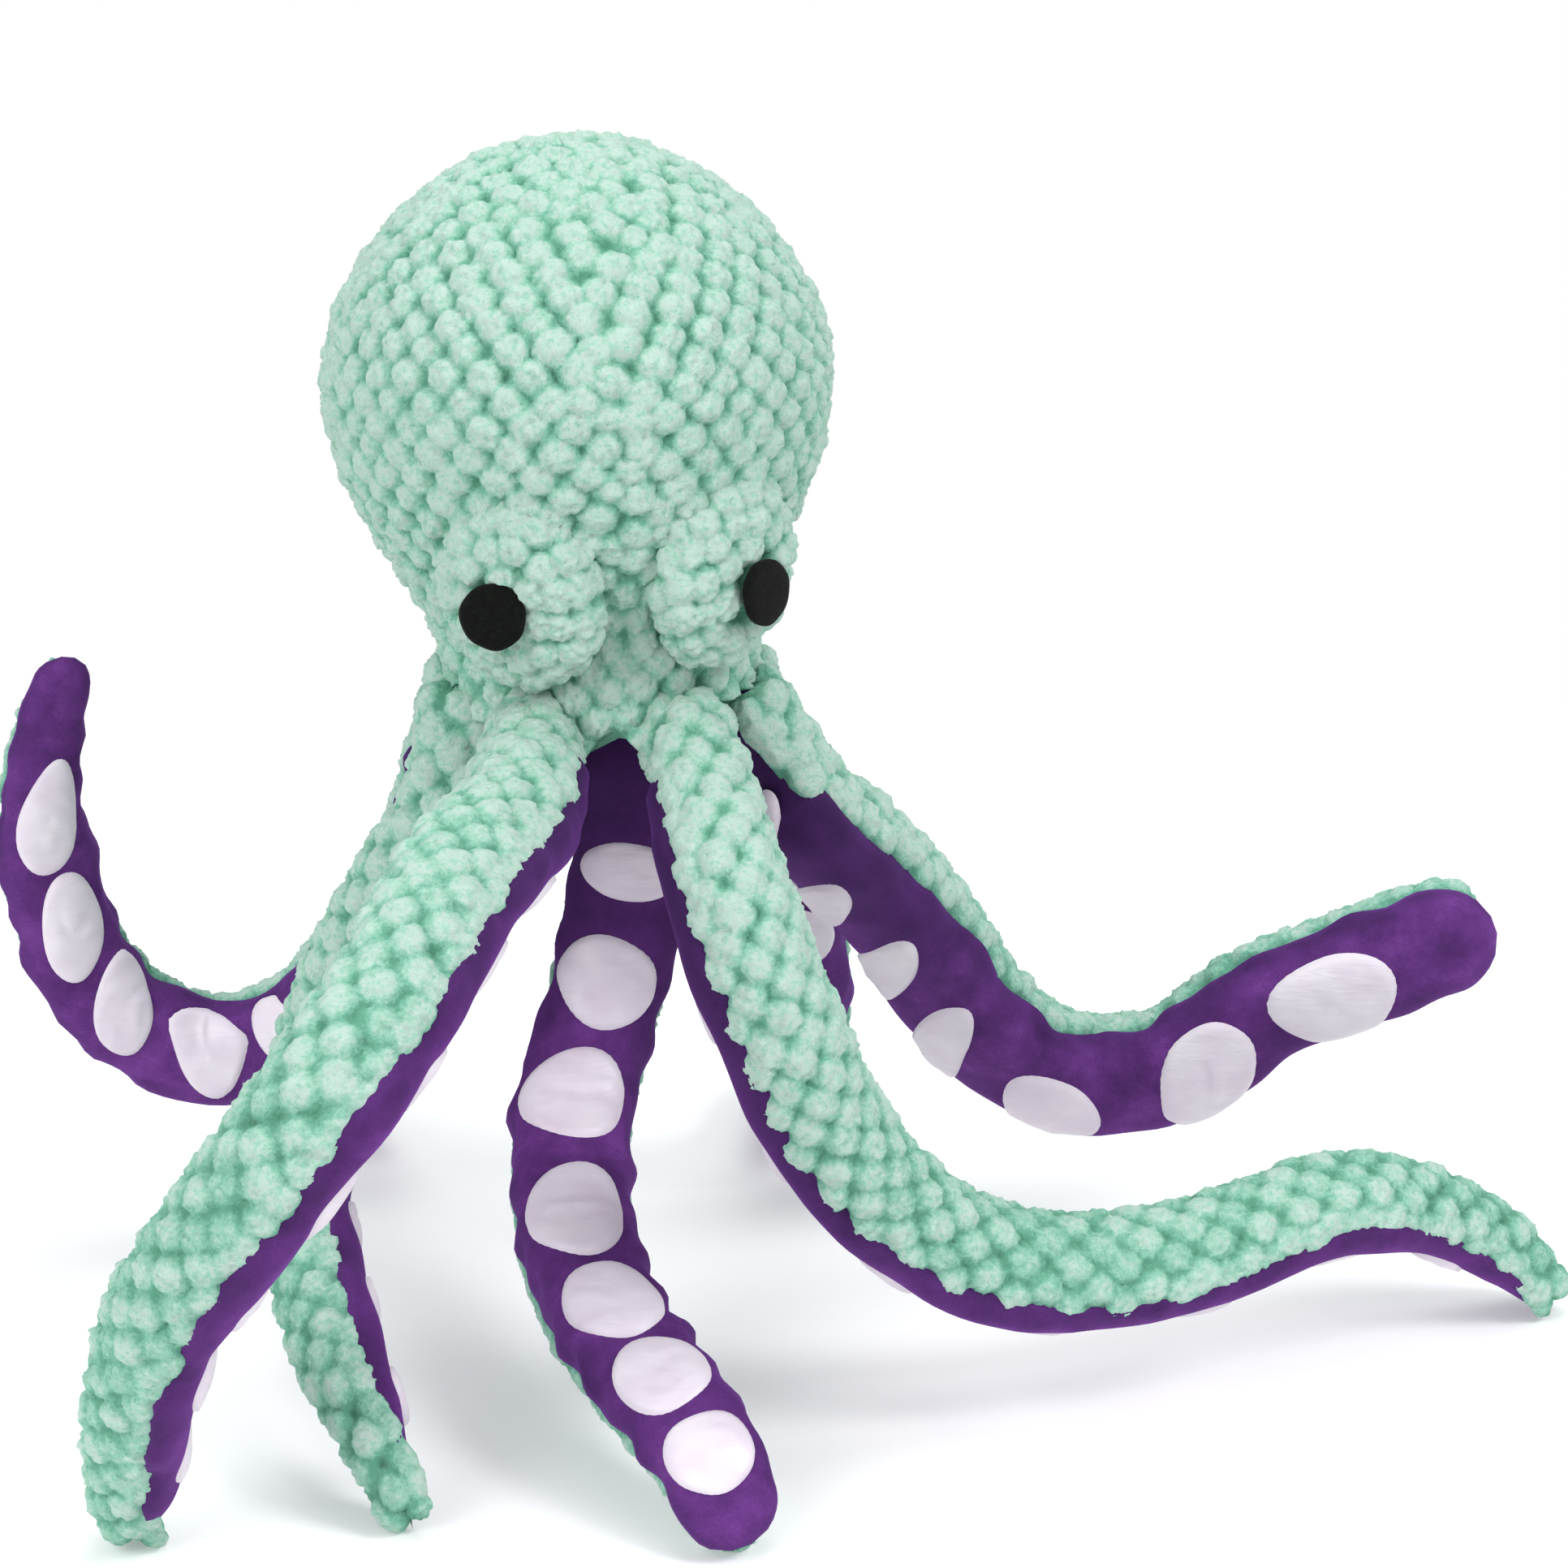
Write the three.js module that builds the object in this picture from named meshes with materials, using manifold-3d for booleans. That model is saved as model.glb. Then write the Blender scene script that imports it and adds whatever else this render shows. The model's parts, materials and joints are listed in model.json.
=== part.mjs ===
// Plush octopus: a stuffed bump-fleece head above a ring of eight stuffed arms.
// It stands on six arm tips, and its left rear and right arms curl up in the air.
// Millimetres, +Z up, face towards -Y, origin on the floor under the middle of the toy.

import * as THREE from 'three';
import { mergeVertices } from 'three/addons/utils/BufferGeometryUtils.js';
import Module from 'manifold-3d';

const wasm = await Module();
wasm.setup();

// Whole stance
const stance_height = 150;
const arm_reach = 200;
const foot_cut = 0.5;
const settle_passes = 4;
const settle_power = 2;
const seam_gap = 0.3;
const overrun = 4;
const weld_distance = 0.001;

// Cloth and felt
const fleece_thickness = 3;
const velboa_thickness = 1.2;
const satin_thickness = 0.9;
const satin_puff = 0.6;
const filling_gap = 1.2;
const felt_thickness = 1.5;

// Head, measured up from the centre of the ring of arms
const head_height = 117.5;
const head_radius = 52.5;
const head_waist_height = 68;
const neck_radius = 33;
const neck_seam_height = 4;
const crown_fullness = 1.85;
const head_lean = THREE.MathUtils.degToRad(4);
const face_turn = 12.5;
const head_sides = 16;
const crown_steps = 5;
const gore_count = 4;
const neck_swell_shares = [[0, 0], [0.29, 0.1], [0.43, 0.33], [0.57, 0.58], [0.71, 0.8], [0.88, 0.95]];

// Eye pads and felt eyes
const pad_half_width = 17.5;
const pad_half_height = 21.5;
const pad_puff = 9;
const pad_sink = 0.5;
const pad_slope_share = 0.5;
const pad_height = 32.5;
const pad_turn = 29.5;
const pad_sides = 10;
const eye_radius = 6.7;
const eye_height = 32;
const eye_turn = 33.5;

// Ring of arms
const ring_radius = 31;
const root_radius = 10.2;
const socket_clearance = 0.5;
const face_gap_angle = 60;
const ring_turn = 5;
const ball_sides = 10;
const inner_ball_sides = 10;

// Arm section: mint back above the seam, flatter purple belly below it
const arm_half_width = 12.8;
const tip_half_width = 9.6;
const back_steps = 5;
const lining_steps = 3;
const swell_shares = [[0, 0], [0.05, 0.3], [0.1, 0.75], [0.16, 1]];
const taper_shares = [[0.55, 0], [0.8, 0.3], [1, 1]];
const back_rise_shares = [[0, 0.95], [0.2, 1.12], [0.9, 1.08], [1, 1]];
const belly_drop_shares = [[0, 0.85], [0.2, 0.72], [1, 0.7]];
const belly_flat_shares = [[0, 0.45], [0.2, 0.82], [1, 0.78]];
const root_ring_shares = [0.04];
const root_cap_shares = [0.7];
const tip_cap_shares = [0.6];

// Suckers
const sucker_half_width = 8.8;
const sucker_half_length = 9.8;
const sucker_sides = 8;
const sucker_shares = [0.2, 0.312, 0.424, 0.536, 0.648, 0.76, 0.872];

// Arms in ring order from the right side of the face. Each route lists places as shares:
// x and y of arm_reach, z of stance_height above the floor. The belly rows are directions.
// tip_share is an arm's end against the others', and its own sucker_shares are places along it.
const arms = [
  {
    name: 'front_right', side: 0, stands: true, girth_share: 1.02, tip_share: 0.82,
    route_shares: [[0.112, -0.21, 0.91], [0.13, -0.27, 0.83], [0.158, -0.29, 0.72], [0.189, -0.28, 0.61],
      [0.229, -0.25, 0.485], [0.288, -0.21, 0.368], [0.376, -0.17, 0.27], [0.5, -0.13, 0.225],
      [0.605, -0.09, 0.23], [0.695, -0.045, 0.253], [0.785, 0, 0.28], [0.88, 0.05, 0.255],
      [0.975, 0.1, 0.185], [1.058, 0.14, 0.08]],
    belly: [[-0.55, 0.6, -0.58], [-0.8, 0.5, -0.3], [-0.4, 0.2, -0.9], [0, 0.05, -1], [-0.53, 0.13, -0.83]],
  },
  {
    name: 'right', side: 1, stands: false, girth_share: 1.1, tip_share: 1.25,
    sucker_shares: [0.12, 0.225, 0.345, 0.455, 0.57, 0.71, 0.85],
    route_shares: [[0.205, 0.01, 0.83], [0.273, 0.1, 0.703], [0.343, 0.19, 0.558], [0.395, 0.25, 0.43],
      [0.46, 0.3, 0.325], [0.545, 0.32, 0.28], [0.635, 0.31, 0.3], [0.735, 0.29, 0.41], [0.825, 0.27, 0.47],
      [0.915, 0.24, 0.535], [0.985, 0.22, 0.57]],
    belly: [[-0.57, -0.55, -0.6], [-0.54, -0.81, -0.22], [-0.3, -0.83, -0.43], [0, -0.9, -0.38],
      [0.1, -0.98, -0.1]],
  },
  {
    name: 'back_right', side: 2, stands: true, girth_share: 1, tip_share: 1,
    route_shares: [[0.16, 0.165, 0.815], [0.185, 0.315, 0.67], [0.2, 0.405, 0.44], [0.205, 0.49, 0.215],
      [0.205, 0.61, 0.11], [0.205, 0.74, 0.085], [0.205, 0.85, 0.03]],
    belly: [[0, -0.75, -0.65], [0, -0.95, -0.3], [0, -0.8, -0.6], [0, -0.4, -0.9], [0, -0.3, -0.95]],
  },
  {
    name: 'back_centre', side: 3, stands: true, girth_share: 1.02, tip_share: 1,
    sucker_shares: [0.19, 0.31, 0.45, 0.605, 0.735, 0.84, 0.925],
    route_shares: [[0.025, 0.145, 0.867], [0.02, 0.15, 0.693], [-0.005, 0.15, 0.527], [-0.04, 0.08, 0.367],
      [-0.04, -0.05, 0.273], [-0.005, -0.2, 0.207], [0.045, -0.31, 0.173], [0.112, -0.42, 0.12],
      [0.147, -0.49, 0.04]],
    belly: [[0, -1, 0], [0, -1, 0.1], [0, -0.6, 0.8], [0, -0.35, 0.95], [0, -0.75, 0.65]],
  },
  {
    name: 'back_left', side: 4, stands: true, girth_share: 1, tip_share: 1,
    route_shares: [[-0.1, 0.22, 0.867], [-0.165, 0.37, 0.693], [-0.24, 0.4, 0.44], [-0.31, 0.48, 0.213],
      [-0.35, 0.61, 0.107], [-0.38, 0.73, 0.08], [-0.4, 0.84, 0.03]],
    belly: [[0, -0.75, -0.65], [0, -0.95, -0.3], [0, -0.8, -0.6], [0, -0.4, -0.9], [0, -0.3, -0.95]],
  },
  {
    name: 'rear_left', side: 5, stands: false, girth_share: 1, tip_share: 0.6,
    sucker_shares: [0.21, 0.33, 0.44, 0.535, 0.64, 0.735, 0.85],
    route_shares: [[-0.195, 0.16, 0.707], [-0.28, 0.25, 0.507], [-0.375, 0.31, 0.36], [-0.48, 0.33, 0.318],
      [-0.578, 0.31, 0.398], [-0.63, 0.28, 0.55], [-0.643, 0.24, 0.725], [-0.622, 0.2, 0.875],
      [-0.59, 0.17, 1]],
    belly: [[0.3, -0.85, -0.4], [0.1, -0.9, -0.4], [0.05, -0.95, -0.15], [0.3, -0.93, 0], [0.4, -0.9, -0.15]],
  },
  {
    name: 'left', side: 6, stands: true, girth_share: 0.92, tip_share: 0.7,
    route_shares: [[-0.16, -0.06, 0.853], [-0.213, -0.03, 0.72], [-0.268, 0.01, 0.58],
      [-0.304, 0.02, 0.447], [-0.32, -0.03, 0.347], [-0.315, -0.11, 0.3], [-0.292, -0.2, 0.27],
      [-0.25, -0.33, 0.205], [-0.207, -0.4, 0.13], [-0.182, -0.42, 0.04]],
    belly: [[0.75, 0.2, -0.6], [0.84, 0.23, -0.48], [0.9, 0.2, -0.3], [0.93, 0.3, -0.15],
      [0.82, 0.55, 0.1]],
  },
  {
    name: 'front_left', side: 7, stands: true, girth_share: 1.05, tip_share: 0.85,
    route_shares: [[-0.075, -0.29, 0.93], [-0.125, -0.46, 0.89], [-0.167, -0.575, 0.81],
      [-0.208, -0.63, 0.745], [-0.26, -0.645, 0.653], [-0.321, -0.63, 0.547], [-0.382, -0.595, 0.427],
      [-0.415, -0.55, 0.307], [-0.44, -0.485, 0.167], [-0.457, -0.42, 0.04]],
    belly: [[0.35, 0.2, -0.9], [0.5, 0.2, -0.83], [0.65, 0.2, -0.72], [0.76, 0.35, -0.5],
      [0.86, 0.45, -0.2]],
  },
];

// Colours and surfaces of the cloths
const mint_fleece = new THREE.MeshStandardMaterial({ color: 0xb6dfcb, roughness: 0.95, metalness: 0 });
const purple_velboa = new THREE.MeshStandardMaterial({ color: 0x572d6c, roughness: 0.85, metalness: 0 });
const white_satin = new THREE.MeshStandardMaterial({ color: 0xf0e6f4, roughness: 0.45, metalness: 0 });
const black_felt = new THREE.MeshStandardMaterial({ color: 0x222621, roughness: 1, metalness: 0 });
const fibre_fill = new THREE.MeshStandardMaterial({ color: 0xf4f4f0, roughness: 1, metalness: 0 });

const octopus = new THREE.Group();

// Closed geometry to solid, solid to named mesh

function solid(geometry, matrix = new THREE.Matrix4()) {
  const shape = geometry.clone().applyMatrix4(matrix);
  shape.deleteAttribute('normal');
  shape.deleteAttribute('uv');
  const merged = mergeVertices(shape, weld_distance);
  return new wasm.Manifold(new wasm.Mesh({
    numProp: 3,
    vertProperties: new Float32Array(merged.attributes.position.array),
    triVerts: new Uint32Array(merged.index.array),
  }));
}

function add_piece(name, shape, material) {
  const mesh_data = shape.getMesh();
  const geometry = new THREE.BufferGeometry();
  geometry.setAttribute('position', new THREE.BufferAttribute(mesh_data.vertProperties, mesh_data.numProp));
  geometry.setIndex(new THREE.BufferAttribute(mesh_data.triVerts, 1));
  geometry.computeVertexNormals();
  const mesh = new THREE.Mesh(geometry, material);
  mesh.name = name;
  octopus.add(mesh);
}

// Straight-line reading of a table of [place, value] rows
function table_value(rows, place) {
  const after = rows.findIndex((row) => row[0] > place);
  if (after === 0) return rows[0][1];
  if (after < 0) return rows[rows.length - 1][1];
  const [low, high] = [rows[after - 1], rows[after]];
  return THREE.MathUtils.mapLinear(place, low[0], high[0], low[1], high[1]);
}

// Joins rings of points into one closed body between two end points
function loft(start, rings, end) {
  const points = [start, ...rings.flat(), end];
  const sides = rings[0].length;
  const last = points.length - 1;
  const faces = [];
  const at = (ring, side) => 1 + ring * sides + (side % sides);
  for (let side = 0; side < sides; side += 1) {
    faces.push(0, at(0, side + 1), at(0, side));
    faces.push(last, at(rings.length - 1, side), at(rings.length - 1, side + 1));
    for (let ring = 0; ring + 1 < rings.length; ring += 1) {
      const [a, b] = [at(ring, side), at(ring, side + 1)];
      const [c, d] = [at(ring + 1, side), at(ring + 1, side + 1)];
      const cut_at_b = points[b].distanceTo(points[c]) < points[a].distanceTo(points[d]);
      faces.push(...(cut_at_b ? [a, b, c, b, d, c] : [a, b, d, a, d, c]));
    }
  }
  const geometry = new THREE.BufferGeometry().setFromPoints(points);
  geometry.setIndex(faces);
  return solid(geometry);
}

// Head

function head_profile(inset, floor_height) {
  const profile = [[0, floor_height]];
  const waist_radius = head_radius - inset;
  for (const [rise_share, swell_share] of neck_swell_shares) {
    const height = Math.max(floor_height, rise_share * head_waist_height);
    profile.push([neck_radius + (head_radius - neck_radius) * swell_share - inset, height]);
  }
  const crown_rise = head_height - head_waist_height - inset;
  for (let step = 0; step < crown_steps; step += 1) {
    const angle = (step / crown_steps) * (Math.PI / 2);
    const radius = waist_radius * Math.cos(angle) ** (2 / crown_fullness);
    profile.push([radius, head_waist_height + crown_rise * Math.sin(angle) ** (2 / crown_fullness)]);
  }
  profile.push([0, head_height - inset]);
  return profile.map(([radius, height]) => new THREE.Vector2(radius, height));
}

const lean_matrix = new THREE.Matrix4().makeRotationY(-head_lean);
const upright = new THREE.Matrix4().makeRotationX(Math.PI / 2);

function head_form(inset, floor_height) {
  const lathe = new THREE.LatheGeometry(head_profile(inset, floor_height), head_sides);
  return solid(lathe, lean_matrix.clone().multiply(upright));
}

function ring_place(side) {
  const turn = face_gap_angle / 2 + (side * (360 - face_gap_angle)) / (arms.length - 1);
  const azimuth = THREE.MathUtils.degToRad(turn + ring_turn);
  return new THREE.Vector3(Math.sin(azimuth), -Math.cos(azimuth), 0).multiplyScalar(ring_radius);
}

function without_sockets(shape, sides) {
  const facet_ease = 1 / Math.cos(Math.PI / sides) ** 2;
  const socket_radius = (root_radius + socket_clearance) * facet_ease;
  return arms.reduce((rest, arm) => {
    const ball = new THREE.SphereGeometry(socket_radius, sides, sides / 2);
    const place = ring_place(arm.side);
    return rest.subtract(solid(ball, new THREE.Matrix4().makeTranslation(place.x, place.y, place.z)));
  }, shape);
}

function add_head_panels() {
  const skin = without_sockets(head_form(0, neck_seam_height).subtract(
    head_form(fleece_thickness, neck_seam_height - overrun),
  ), ball_sides);
  const names = ['front_right', 'back_right', 'back_left', 'front_left'];
  const side = head_radius + overrun;
  const height = head_height + neck_seam_height + overrun;
  for (let gore = 0; gore < gore_count; gore += 1) {
    const quarter = new THREE.BoxGeometry(side, side, height);
    quarter.translate((side + seam_gap) / 2, (side + seam_gap) / 2, height / 2);
    const turn = THREE.MathUtils.degToRad(face_turn - 90) + (gore * 2 * Math.PI) / gore_count;
    const place = lean_matrix.clone().multiply(new THREE.Matrix4().makeRotationZ(turn));
    add_piece(`head_panel_${names[gore]}`, skin.intersect(solid(quarter, place)), mint_fleece);
  }
}

function add_head_inside() {
  const inset = fleece_thickness + seam_gap;
  const filling = without_sockets(head_form(inset, neck_seam_height), inner_ball_sides);
  add_piece('head_filling', filling, fibre_fill);
  const disc = new THREE.CylinderGeometry(neck_radius, neck_radius, velboa_thickness, head_sides);
  const drop = neck_seam_height - seam_gap - velboa_thickness / 2;
  const lowered = new THREE.Matrix4().makeTranslation(0, 0, drop);
  const place = lean_matrix.clone().multiply(lowered).multiply(upright);
  add_piece('base_disc', without_sockets(solid(disc, place), inner_ball_sides), purple_velboa);
}

// Frame on the head's surface: z out of the surface, x along it to the side
function head_place(turn, height) {
  const azimuth = THREE.MathUtils.degToRad(turn + face_turn);
  const share = height / head_waist_height;
  const swell = head_radius - neck_radius;
  const radius = neck_radius + swell * table_value(neck_swell_shares, share);
  const slope_rows = neck_swell_shares.slice(1, 4);
  const rise = (slope_rows[2][0] - slope_rows[0][0]) * head_waist_height;
  const run = (slope_rows[2][1] - slope_rows[0][1]) * swell;
  const fall = (pad_slope_share * run) / rise;
  const out = new THREE.Vector3(Math.sin(azimuth), -Math.cos(azimuth), -fall).normalize();
  const across = new THREE.Vector3(Math.cos(azimuth), Math.sin(azimuth), 0);
  const up = new THREE.Vector3().crossVectors(out, across);
  const frame = new THREE.Matrix4().makeBasis(across, up, out);
  frame.setPosition(Math.sin(azimuth) * radius, -Math.cos(azimuth) * radius, height);
  return lean_matrix.clone().multiply(frame);
}

function pad_form(turn, growth) {
  const ball = new THREE.SphereGeometry(1, pad_sides, pad_sides / 2);
  ball.rotateX(Math.PI / 2);
  ball.scale(pad_half_width + growth, pad_half_height + growth, pad_puff + growth);
  ball.translate(0, 0, -pad_sink);
  return solid(ball, head_place(turn, pad_height));
}

function add_eye(name, hand) {
  const pad = pad_form(hand * pad_turn, 0).subtract(head_form(-seam_gap, neck_seam_height));
  add_piece(`eye_pad_${name}`, pad, mint_fleece);
  const length = pad_puff + felt_thickness + overrun;
  const disc = new THREE.CylinderGeometry(eye_radius, eye_radius, length, pad_sides);
  disc.rotateX(Math.PI / 2);
  disc.translate(0, 0, length / 2);
  const eye = solid(disc, head_place(hand * eye_turn, eye_height))
    .intersect(pad_form(hand * pad_turn, seam_gap + felt_thickness))
    .subtract(pad_form(hand * pad_turn, seam_gap));
  add_piece(`eye_${name}`, eye, black_felt);
}

// Arms

function belly_direction(arm, share) {
  const place = THREE.MathUtils.clamp(share, 0, 1) * (arm.belly.length - 1);
  const row = Math.min(Math.floor(place), arm.belly.length - 2);
  const from = new THREE.Vector3(...arm.belly[row]);
  return from.lerp(new THREE.Vector3(...arm.belly[row + 1]), place - row);
}

// Centre of a section at a distance from the root, with its across and belly directions
function arm_frame(arm, distance) {
  const share = THREE.MathUtils.clamp(distance / arm.length, 0, 1);
  const along = arm.curve.getTangentAt(share);
  const centre = arm.curve.getPointAt(share).addScaledVector(along, distance - share * arm.length);
  const belly = belly_direction(arm, share);
  belly.addScaledVector(along, -belly.dot(along)).normalize();
  const across = new THREE.Vector3().crossVectors(belly, along);
  return { centre, along, belly, across };
}

function tip_width(arm) {
  return tip_half_width * arm.girth_share * arm.tip_share;
}

function half_width(arm, share) {
  const full = arm_half_width * arm.girth_share;
  const swell = THREE.MathUtils.lerp(root_radius, full, table_value(swell_shares, share));
  return THREE.MathUtils.lerp(swell, tip_width(arm), table_value(taper_shares, share));
}

// Distances of the section rings that lie midway between suckers
function sucker_edges(arm) {
  const places = arm.sucker_shares ?? sucker_shares;
  const middles = places.slice(1).map((place, index) => (place + places[index]) / 2);
  const first = 2 * places[0] - middles[0];
  const last = 2 * places[places.length - 1] - middles[middles.length - 1];
  return [first, ...middles, last].map((share) => arm.length * share);
}

// Distances of the rings along an arm, each with its end-cap scale
function arm_stations(arm, inset) {
  const root_cap = root_radius - inset;
  const tip_cap = tip_width(arm) - inset;
  const tip_start = arm.length - inset - tip_cap;
  const cap_scale = (share) => Math.sqrt(1 - share * share);
  return [
    ...root_cap_shares.map((share) => [-root_cap * share, cap_scale(share)]),
    ...root_ring_shares.map((share) => [arm.length * share, 1]),
    ...sucker_edges(arm).map((distance) => [distance, 1]),
    ...tip_cap_shares.map((share) => [tip_start + tip_cap * share, cap_scale(share)]),
  ];
}

// Section sizes of an arm at a distance from its root
function section_sizes(arm, distance) {
  const share = distance / arm.length;
  const half = half_width(arm, share);
  return {
    half,
    back: half * table_value(back_rise_shares, share),
    drop: half * table_value(belly_drop_shares, share),
    flat: half * table_value(belly_flat_shares, share),
  };
}

// Rings of one outline along an arm; an outline gives [across, belly] places
function arm_rings(arm, inset, outline) {
  return arm_stations(arm, inset).map(([distance, scale]) => {
    const frame = arm_frame(arm, distance);
    return outline(section_sizes(arm, distance)).map(([across, belly]) => frame.centre.clone()
      .addScaledVector(frame.across, across * scale)
      .addScaledVector(frame.belly, belly * scale));
  });
}

function arm_loft(arm, inset, outline) {
  const start = arm_frame(arm, inset - root_radius).centre;
  const end = arm_frame(arm, arm.length - inset).centre;
  return loft(start, arm_rings(arm, inset, outline), end);
}

function back_arc(half, back, seam, steps) {
  const places = [];
  for (let step = 0; step <= steps; step += 1) {
    const angle = Math.PI * (1 + step / steps);
    places.push([half * Math.cos(angle), (back - seam) * Math.sin(angle) - seam]);
  }
  return places;
}

function belly_corners(half, drop, flat, seam) {
  return [[half, seam], [flat, drop], [-flat, drop], [-half, seam]];
}

function back_outline({ half, back }) {
  return back_arc(half, back, seam_gap / 2, back_steps);
}

function back_hollow_outline({ half, back }) {
  const side = half - fleece_thickness;
  return [[side, overrun], [-side, overrun], ...back_arc(side, back - fleece_thickness, 0, lining_steps)];
}

function belly_outline({ half, drop, flat }) {
  return belly_corners(half, drop, flat, seam_gap / 2);
}

function belly_hollow_outline({ half, drop, flat }) {
  const side = half - velboa_thickness;
  const corners = belly_corners(side, drop - velboa_thickness, flat - velboa_thickness, 0);
  return [...corners, [-side, -overrun], [side, -overrun]];
}

// Whole inner section below the skins; depth is measured in from the belly's outside
function inner_outline(skin, depth) {
  return ({ half, back, drop, flat }) => {
    const side = half - skin;
    const floor = flat - velboa_thickness - seam_gap;
    const bottom = [[side, 0], [floor, drop - depth], [-floor, drop - depth]];
    return [...bottom, ...back_arc(side, back - skin, 0, lining_steps)];
  };
}

function strip_outline({ drop, flat }) {
  const side = flat - velboa_thickness - seam_gap;
  const top = drop - velboa_thickness - seam_gap;
  const under = top - satin_thickness;
  return [[side, under], [side, top], [-side, top], [-side, under]];
}

// Places an arm's centre line; a standing arm is let down until its tip is cut by the floor
function route_arm(arm) {
  const root = ring_place(arm.side);
  const ground = -stance_height;
  const at_shares = ([x, y, z]) => new THREE.Vector3(x * arm_reach, y * arm_reach, ground - z * ground);
  const points = arm.route_shares.map(at_shares);
  const trace = () => {
    arm.curve = new THREE.CatmullRomCurve3([root, ...points], false, 'centripetal');
    arm.length = arm.curve.getLength();
  };
  trace();
  if (!arm.stands) return;
  const lowest = () => Math.min(
    ...arm_rings(arm, 0, back_outline).flat().map((point) => point.z),
    ...arm_rings(arm, 0, belly_outline).flat().map((point) => point.z),
  );
  for (let pass = 0; pass < settle_passes; pass += 1) {
    const drop = lowest() - ground + foot_cut;
    points.forEach((point, index) => {
      point.z -= drop * ((index + 1) / points.length) ** settle_power;
    });
    trace();
  }
}

function above_floor(shape) {
  const depth = arm_half_width;
  const ground = new THREE.BoxGeometry(arm_reach * 3, arm_reach * 3, depth);
  const place = new THREE.Matrix4().makeTranslation(0, 0, -stance_height - depth / 2);
  return shape.subtract(solid(ground, place));
}

// Middle of the belly's surface on a ring
function belly_point(arm, distance) {
  const frame = arm_frame(arm, distance);
  return frame.centre.addScaledVector(frame.belly, section_sizes(arm, distance).drop);
}

// Oval prisms on the flat facets of the belly, larger all round by the growth
function sucker_prisms(arm, growth, depth, proud) {
  const edges = sucker_edges(arm);
  const prisms = edges.slice(1).map((edge, index) => {
    const [start, end] = [belly_point(arm, edges[index]), belly_point(arm, edge)];
    const middle = (edges[index] + edge) / 2;
    const along = end.clone().sub(start).normalize();
    const belly = arm_frame(arm, edges[index]).belly.add(arm_frame(arm, edge).belly);
    belly.addScaledVector(along, -belly.dot(along)).normalize();
    const across = new THREE.Vector3().crossVectors(belly, along);
    const ease = section_sizes(arm, middle).half / arm_half_width;
    const prism = new THREE.CylinderGeometry(1, 1, depth + proud, sucker_sides);
    prism.scale(sucker_half_width * ease + growth, 1, sucker_half_length * ease + growth);
    prism.translate(0, (proud - depth) / 2, 0);
    const place = new THREE.Matrix4().makeBasis(across, belly, along).setPosition(start.lerp(end, 1 / 2));
    return solid(prism, place);
  });
  return prisms.reduce((whole, prism) => whole.add(prism));
}

function add_arm(arm) {
  const strip_depth = velboa_thickness + seam_gap + satin_thickness;
  const inner_inset = fleece_thickness + seam_gap;
  const windows = sucker_prisms(arm, seam_gap, overrun, overrun);
  const discs = sucker_prisms(arm, 0, strip_depth - satin_thickness / 2, satin_puff);

  const back = arm_loft(arm, 0, back_outline)
    .subtract(arm_loft(arm, fleece_thickness, back_hollow_outline));
  const belly = arm_loft(arm, 0, belly_outline)
    .subtract(arm_loft(arm, velboa_thickness, belly_hollow_outline))
    .subtract(windows);
  const suckers = discs.add(arm_loft(arm, inner_inset, strip_outline));
  const filling = arm_loft(arm, inner_inset, inner_outline(inner_inset, strip_depth + filling_gap));

  add_piece(`arm_${arm.name}_back`, above_floor(back), mint_fleece);
  add_piece(`arm_${arm.name}_belly`, above_floor(belly), purple_velboa);
  add_piece(`arm_${arm.name}_suckers`, suckers, white_satin);
  add_piece(`arm_${arm.name}_filling`, filling, fibre_fill);
}

arms.forEach(route_arm);
add_head_panels();
add_head_inside();
add_eye('left', -1);
add_eye('right', 1);
arms.forEach(add_arm);

// The floor goes to z = 0 and the middle of the toy's outline to x = y = 0
const outline = new THREE.Box3().setFromObject(octopus);
const middle = outline.getCenter(new THREE.Vector3());
octopus.position.set(-middle.x, -middle.y, stance_height);

export default octopus;
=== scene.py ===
"""Plush octopus dressed over its frame: bump fleece, purple velboa, satin suckers and felt eyes.

Every length is in metres and every place is measured from the middle of the ring of arms,
which `ring_middle` finds in the frame.
"""
import json
import math
from collections import namedtuple

import bpy
import numpy as np
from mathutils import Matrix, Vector


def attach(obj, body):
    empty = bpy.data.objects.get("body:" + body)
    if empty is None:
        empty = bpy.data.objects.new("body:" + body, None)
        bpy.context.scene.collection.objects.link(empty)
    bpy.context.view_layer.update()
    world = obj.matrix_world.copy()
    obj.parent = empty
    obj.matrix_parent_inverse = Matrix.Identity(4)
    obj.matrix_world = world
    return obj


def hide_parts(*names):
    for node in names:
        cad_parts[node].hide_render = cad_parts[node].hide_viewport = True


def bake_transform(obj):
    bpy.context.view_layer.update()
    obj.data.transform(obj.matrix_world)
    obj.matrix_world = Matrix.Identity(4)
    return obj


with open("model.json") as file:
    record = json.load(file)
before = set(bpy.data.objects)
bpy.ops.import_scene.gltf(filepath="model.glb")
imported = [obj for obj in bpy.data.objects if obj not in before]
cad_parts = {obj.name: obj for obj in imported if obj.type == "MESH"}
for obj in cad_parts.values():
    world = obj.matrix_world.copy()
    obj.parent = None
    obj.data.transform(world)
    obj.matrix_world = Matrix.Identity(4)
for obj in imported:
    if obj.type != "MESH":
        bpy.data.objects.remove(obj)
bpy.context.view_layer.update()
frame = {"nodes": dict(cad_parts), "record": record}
rng = np.random.default_rng(8)

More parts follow.
